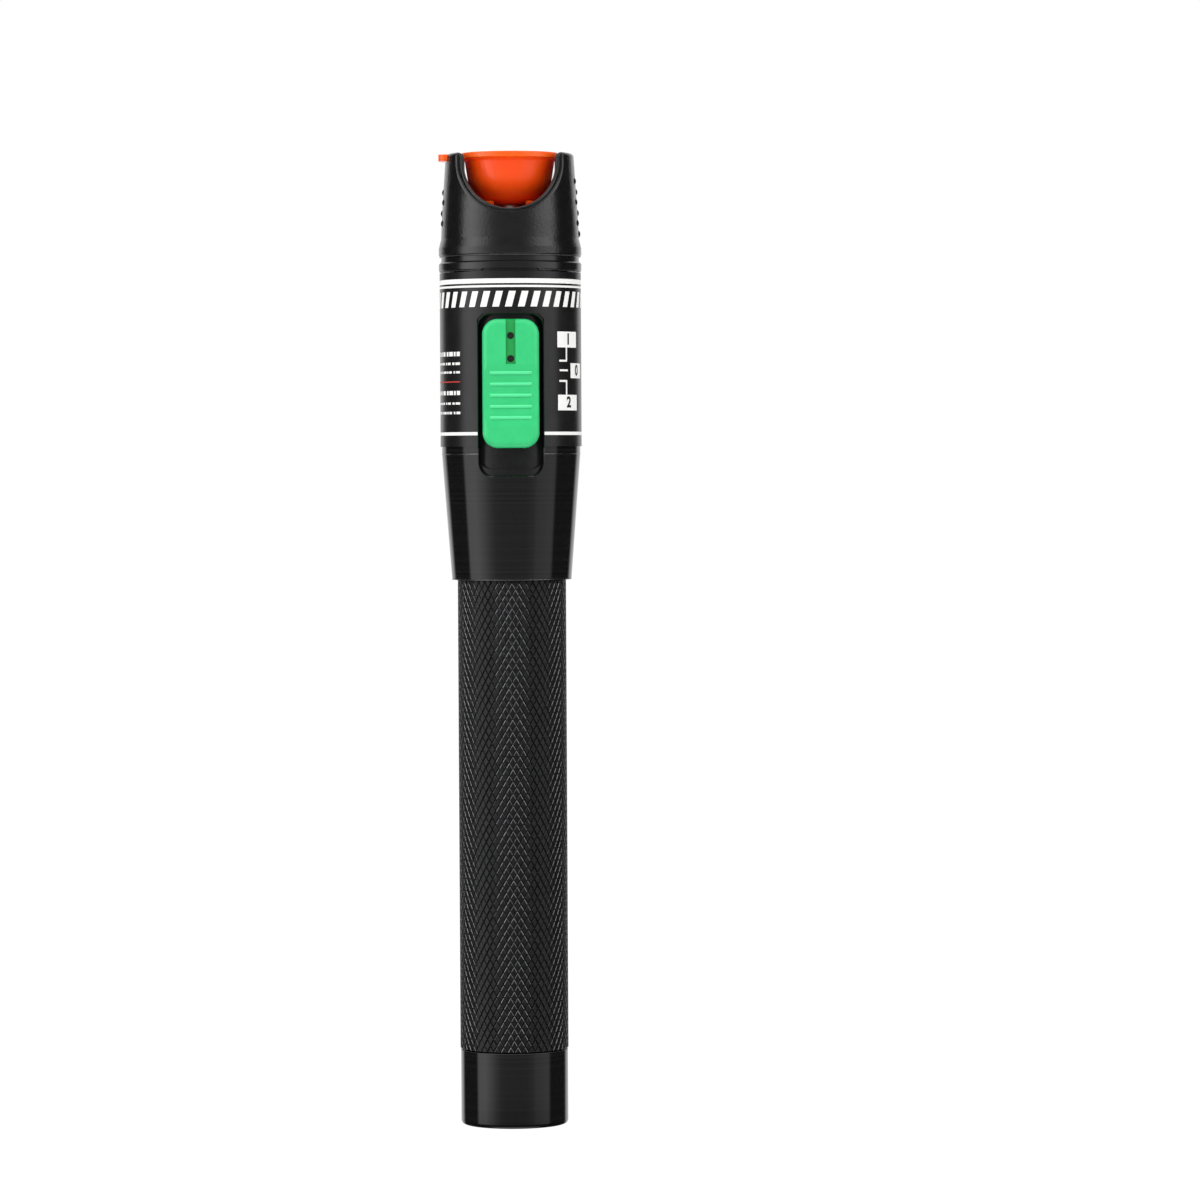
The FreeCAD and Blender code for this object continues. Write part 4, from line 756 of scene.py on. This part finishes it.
cap_rubber = (Finish("cap_orange", (0.98, 0.082, 0.005), 0.21, specular=0.55)
              .mottle((1.0, 0.09, 0.006), 2.5)
              # Painted highlight: the cap's top rim is a lighter orange, standing in for the
              # light on its top edge.
              .paint(RIM_HIGHLIGHT_ORANGE, rim_highlight_low, rim_highlight_high)
              .bump(0.35, 0.006, detail=3)
              .uneven_gloss(0.06, 0.9)
              .set("Subsurface Weight", 0.75)
              .set("Subsurface Scale", 1.0)
              .set("Subsurface Radius", (0.0034, 0.0011, 0.0003)).material)
black_nylon = (Finish("black_nylon", (0.012, 0.012, 0.0125), 0.5)
               .mottle((0.018, 0.018, 0.019), 0.8).bump(0.2, 0.006).material)
black_rubber = (Finish("black_rubber", (0.014, 0.014, 0.014), 0.62)
                .mottle((0.024, 0.024, 0.024), 0.5).bump(0.12, 0.006).material)
nickel = (Finish("nickel_plate", (0.62, 0.6, 0.56), 0.22, metallic=1.0)
          .mottle((0.7, 0.68, 0.63), 0.6, stretch=RINGS)
          .bump(0.15, 0.0015, RINGS).material)
brass = (Finish("brass_turned", (0.72, 0.5, 0.2), 0.26, metallic=1.0)
         .mottle((0.8, 0.58, 0.26), 0.5, stretch=RINGS)
         .bump(0.15, 0.002, RINGS).material)
steel = (Finish("spring_steel", (0.5, 0.5, 0.5), 0.3, metallic=1.0)
         .mottle((0.6, 0.6, 0.6), 0.4).bump(0.1, 0.002).material)
pressed_steel = (Finish("pressed_steel", (0.55, 0.55, 0.54), 0.32, metallic=1.0)
                 .mottle((0.64, 0.64, 0.62), 0.7).bump(0.2, 0.003).material)
ceramic = (Finish("zirconia", (0.86, 0.85, 0.8), 0.16)
           .mottle((0.9, 0.89, 0.85), 0.6).bump(0.2, 0.001).material)
cell_wrap = (Finish("cell_wrap", (0.03, 0.06, 0.1), 0.3)
             .mottle((0.04, 0.075, 0.125), 2.0).bump(0.4, 0.003).material)
board_resist = (Finish("board_resist", (0.008, 0.13, 0.045), 0.36)
                .mottle((0.012, 0.19, 0.065), 0.9).bump(0.25, 0.006).material)
chip_epoxy = (Finish("chip_epoxy", (0.016, 0.016, 0.017), 0.48)
              .mottle((0.026, 0.026, 0.027), 0.3).bump(0.1, 0.005).material)
lens_glass = (Finish("lens_glass", (0.97, 0.985, 0.98), 0.02)
              .bump(1.5, 0.0004)
              .set("Transmission Weight", 1.0)
              .set("IOR", 1.52).material)

FINISHES = {
    "seal_ring": black_rubber,
    "tail_spring": steel,
    "battery_rear": cell_wrap,
    "battery_front": cell_wrap,
    "body_housing": anodised,
    "label_wrap": label_film,
    "switch_bezel": well_plastic,
    "slide_button": green_plastic,
    "slide_carrier": black_nylon,
    "switch_lever": black_nylon,
    "switch_case": pressed_steel,
    "switch_base": black_nylon,
    "circuit_board": board_resist,
    "driver_chip": chip_epoxy,
    "chip_parts": ceramic,
    "contact_holder": black_nylon,
    "ground_contact": brass,
    "positive_contact": brass,
    "module_holder": flange_plastic,
    "alignment_screws": steel,
    "laser_barrel": brass,
    "laser_diode": nickel,
    "focus_lens": lens_glass,
    "lens_retainer": brass,
    "port_tube": nickel,
    "ferrule_sleeve": ceramic,
    "port_nut": nickel,
    "guard": guard_plastic,
    "dust_cap": cap_rubber,
    "cap_cradle": cap_rubber,
    "handle_tube": anodised,
}


def dress_nodes():
    """Give every carried-over piece its finish."""
    for name, material in FINISHES.items():
        mesh = nodes[name].data
        mesh.materials.clear()
        mesh.materials.append(material)


# ---------------------------------------------------------------- stage

CAMERA_DISTANCE = 971 * MM
CAMERA_HEIGHT = 122 * MM
SENSOR_WIDTH = 36
LENS = 157.7
CLIP_NEAR = 0.05
CLIP_FAR = 50
YAW = math.radians(-0.959)
PITCH = math.radians(-1.488)
ROLL = math.radians(-0.3)


def make_camera():
    """Long lens in front of the switch, level with the button's foot, a little rolled."""
    data = bpy.data.cameras.new("camera")
    data.sensor_width = SENSOR_WIDTH
    data.lens = LENS
    data.clip_start = CLIP_NEAR
    data.clip_end = CLIP_FAR
    camera = bpy.data.objects.new("camera", data)
    bpy.context.scene.collection.objects.link(camera)
    turn = Matrix.Rotation(YAW, 4, "Z") @ Matrix.Rotation(math.pi / 2 + PITCH, 4, "X")
    place = Matrix.Translation((0, -CAMERA_DISTANCE, CAMERA_HEIGHT))
    camera.matrix_world = place @ turn @ Matrix.Rotation(ROLL, 4, "Z")
    bpy.context.scene.camera = camera


# Name, azimuth and elevation in degrees, distance, width and height in metres, radiance.
SOFTBOXES = (
    ("left_softbox", -55, 10, 0.9, 0.72, 1.1, 1.8),
    ("right_softbox", 55, 10, 0.9, 0.62, 1.1, 1.32),
    ("back_softbox", 180, 20, 0.9, 1.0, 1.0, 0.6),
    ("top_softbox", 0, 62, 1.0, 0.9, 0.6, 2.2),
)


def make_softbox(name, azimuth, elevation, distance, width, height, radiance):
    """An area light aimed at the pen's middle, at an angle from the front towards +X."""
    middle = (cad_bounds[0] + cad_bounds[1]) / 2
    data = bpy.data.lights.new(name, "AREA")
    data.shape = "RECTANGLE"
    data.size = width
    data.size_y = height
    data.energy = radiance * math.pi * width * height
    light = bpy.data.objects.new(name, data)
    light.visible_glossy = False
    bpy.context.scene.collection.objects.link(light)
    side = math.radians(azimuth)
    rise = math.radians(elevation)
    outward = Vector((math.sin(side) * math.cos(rise), -math.cos(side) * math.cos(rise),
                      math.sin(rise)))
    light.location = middle + outward * distance
    light.rotation_mode = "QUATERNION"
    light.rotation_quaternion = outward.to_track_quat("Z", "Y")


# What the pen's gloss sees: rows of angle from the front towards +X, brightness low down and
# brightness higher up. A dim front, two soft boxes, dark flags beside them, and the white
# background behind.
STUDIO_RING = (
    (-180, 1.0, 1.0), (-146, 1.0, 1.0), (-136, 0.02, 0.02), (-89, 0.02, 0.02),
    (-84, 1.3, 1.5), (-66, 1.5, 1.9), (-52, 1.05, 1.2), (-40, 0.6, 0.6), (-30, 0.34, 0.28),
    (-18, 0.27, 0.17), (0, 0.25, 0.15), (26, 0.26, 0.17), (40, 0.38, 0.45), (46, 0.56, 0.95),
    (72, 0.68, 1.6), (79, 0.62, 1.4), (84, 0.02, 0.02), (136, 0.02, 0.02), (146, 1.0, 1.0),
    (180, 1.0, 1.0),
)

# Heights in metres between which the ring grows bright, and between which it changes from
# its low to its high brightness.
RING_DARK = -0.62
RING_FOOT = -0.34
RING_LOW = 0.12
RING_HIGH = 0.4
RING_DIMMEST = 0.06
RING_RADIUS = 1.6
RING_REACH = 3.0
RING_STEPS = 96


def empty_tree(owner):
    """The node tree of a material or world, with nothing in it."""
    owner.use_nodes = True
    owner.node_tree.nodes.clear()
    return owner.node_tree


def studio_colour(tree):
    """The studio's colour and strength: dark low down, and soft boxes stronger higher up."""
    place = tree.nodes.new("ShaderNodeNewGeometry")
    split = tree.nodes.new("ShaderNodeSeparateXYZ")
    flip = tree.nodes.new("ShaderNodeMath")
    flip.operation = "MULTIPLY"
    flip.inputs[1].default_value = -1
    angle = tree.nodes.new("ShaderNodeMath")
    angle.operation = "ARCTAN2"
    span = tree.nodes.new("ShaderNodeMapRange")
    span.inputs["From Min"].default_value = -math.pi
    span.inputs["From Max"].default_value = math.pi
    rise = tree.nodes.new("ShaderNodeMapRange")
    rise.inputs["From Min"].default_value = RING_LOW
    rise.inputs["From Max"].default_value = RING_HIGH
    blend = tree.nodes.new("ShaderNodeMix")
    blend.data_type = "RGBA"
    tree.links.new(place.outputs["Position"], split.inputs["Vector"])
    tree.links.new(split.outputs["Y"], flip.inputs[0])
    tree.links.new(split.outputs["X"], angle.inputs[0])
    tree.links.new(flip.outputs["Value"], angle.inputs[1])
    tree.links.new(angle.outputs["Value"], span.inputs["Value"])
    tree.links.new(split.outputs["Z"], rise.inputs["Value"])
    tree.links.new(rise.outputs["Result"], blend.inputs["Factor"])
    for column, socket in ((1, MIX_FIRST), (2, MIX_SECOND)):
        ramp = tree.nodes.new("ShaderNodeValToRGB")
        stops = ramp.color_ramp.elements
        for index, row in enumerate(STUDIO_RING):
            where = (row[0] + 180) / 360
            stop = stops[0] if index == 0 else stops.new(where)
            stop.position = where
            stop.color = (*[row[column]] * 3, 1)
        tree.links.new(span.outputs["Result"], ramp.inputs["Fac"])
        tree.links.new(ramp.outputs["Color"], blend.inputs[socket])
    fall = tree.nodes.new("ShaderNodeMapRange")
    fall.inputs["From Min"].default_value = RING_DARK
    fall.inputs["From Max"].default_value = RING_FOOT
    fall.inputs["To Min"].default_value = RING_DIMMEST
    tree.links.new(split.outputs["Z"], fall.inputs["Value"])
    return blend.outputs[MIX_RESULT], fall.outputs["Result"]


def make_studio_ring():
    """The studio's walls, which only the pen's gloss sees."""
    points = []
    faces = []
    for step in range(RING_STEPS):
        angle = FULL_TURN * step / RING_STEPS
        points.append(on_axis(RING_RADIUS, angle, -RING_REACH))
        points.append(on_axis(RING_RADIUS, angle, RING_REACH))
        after = (step + 1) % RING_STEPS
        faces.append((2 * step, 2 * after, 2 * after + 1, 2 * step + 1))
    mesh = bpy.data.meshes.new("studio_ring")
    mesh.from_pydata(points, [], faces)
    material = bpy.data.materials.new("studio_walls")
    tree = empty_tree(material)
    glow = tree.nodes.new("ShaderNodeEmission")
    output = tree.nodes.new("ShaderNodeOutputMaterial")
    colour, strength = studio_colour(tree)
    tree.links.new(colour, glow.inputs["Color"])
    tree.links.new(strength, glow.inputs["Strength"])
    tree.links.new(glow.outputs["Emission"], output.inputs["Surface"])
    mesh.materials.append(material)
    ring = bpy.data.objects.new("studio_ring", mesh)
    bpy.context.scene.collection.objects.link(ring)
    ring.visible_camera = False
    ring.visible_diffuse = False
    ring.visible_shadow = False
    ring.visible_transmission = False


def seen_directly(tree):
    """A factor that is 1 for camera, glossy and transmission rays."""
    path = tree.nodes.new("ShaderNodeLightPath")
    first = tree.nodes.new("ShaderNodeMath")
    first.operation = "MAXIMUM"
    second = tree.nodes.new("ShaderNodeMath")
    second.operation = "MAXIMUM"
    tree.links.new(path.outputs["Is Camera Ray"], first.inputs[0])
    tree.links.new(path.outputs["Is Glossy Ray"], first.inputs[1])
    tree.links.new(first.outputs["Value"], second.inputs[0])
    tree.links.new(path.outputs["Is Transmission Ray"], second.inputs[1])
    return second.outputs["Value"]


WHITE = (1, 1, 1, 1)
FILL = 0.69
FLOOR_REACH = 6.0
FLOOR_DROP = 0.02 * MM
FLOOR_GREY = (0.85, 0.85, 0.85, 1)
FLOOR_GLOW = 1.08
FLOOR_GLOW_SHARE = 0.88


def make_world():
    """White where it is seen, and a plain soft fill where it lights."""
    world = bpy.data.worlds.new("white_studio")
    bpy.context.scene.world = world
    tree = empty_tree(world)
    fill = tree.nodes.new("ShaderNodeBackground")
    fill.inputs["Color"].default_value = WHITE
    fill.inputs["Strength"].default_value = FILL
    seen = tree.nodes.new("ShaderNodeBackground")
    seen.inputs["Color"].default_value = WHITE
    mix = tree.nodes.new("ShaderNodeMixShader")
    output = tree.nodes.new("ShaderNodeOutputWorld")
    tree.links.new(seen_directly(tree), mix.inputs["Fac"])
    tree.links.new(fill.outputs["Background"], mix.inputs[1])
    tree.links.new(seen.outputs["Background"], mix.inputs[2])
    tree.links.new(mix.outputs["Shader"], output.inputs["Surface"])


def make_floor():
    """Plain white floor that keeps a faint shadow; the pen's gloss sees the studio instead."""
    mesh = bpy.data.meshes.new("floor")
    reach = FLOOR_REACH
    corners = [(-reach, -reach, 0), (reach, -reach, 0), (reach, reach, 0), (-reach, reach, 0)]
    mesh.from_pydata(corners, [], [(0, 1, 2, 3)])
    material = bpy.data.materials.new("floor_white")
    tree = empty_tree(material)
    matt = tree.nodes.new("ShaderNodeBsdfDiffuse")
    matt.inputs["Color"].default_value = FLOOR_GREY
    white = tree.nodes.new("ShaderNodeEmission")
    white.inputs["Strength"].default_value = FLOOR_GLOW
    share = tree.nodes.new("ShaderNodeMath")
    share.operation = "MULTIPLY"
    share.inputs[1].default_value = FLOOR_GLOW_SHARE
    seen = tree.nodes.new("ShaderNodeMixShader")
    output = tree.nodes.new("ShaderNodeOutputMaterial")
    tree.links.new(seen_directly(tree), share.inputs[0])
    tree.links.new(share.outputs["Value"], seen.inputs["Fac"])
    tree.links.new(matt.outputs["BSDF"], seen.inputs[1])
    tree.links.new(white.outputs["Emission"], seen.inputs[2])
    tree.links.new(seen.outputs["Shader"], output.inputs["Surface"])
    mesh.materials.append(material)
    floor = bpy.data.objects.new("floor", mesh)
    bpy.context.scene.collection.objects.link(floor)
    floor.location.z = -FLOOR_DROP
    floor.visible_glossy = False


def main():
    """Dress the frame, add what Blender models, and set the stage."""
    make_camera()
    dress_nodes()
    make_handle_core(anodised)
    make_knurl(knurl_top, knurl_edge, knurl_groove)
    make_thread(anodised)
    make_edge_lines()
    make_print()
    make_world()
    make_floor()
    make_studio_ring()
    for softbox in SOFTBOXES:
        make_softbox(*softbox)
    bpy.context.scene.view_settings.view_transform = "Standard"


main()
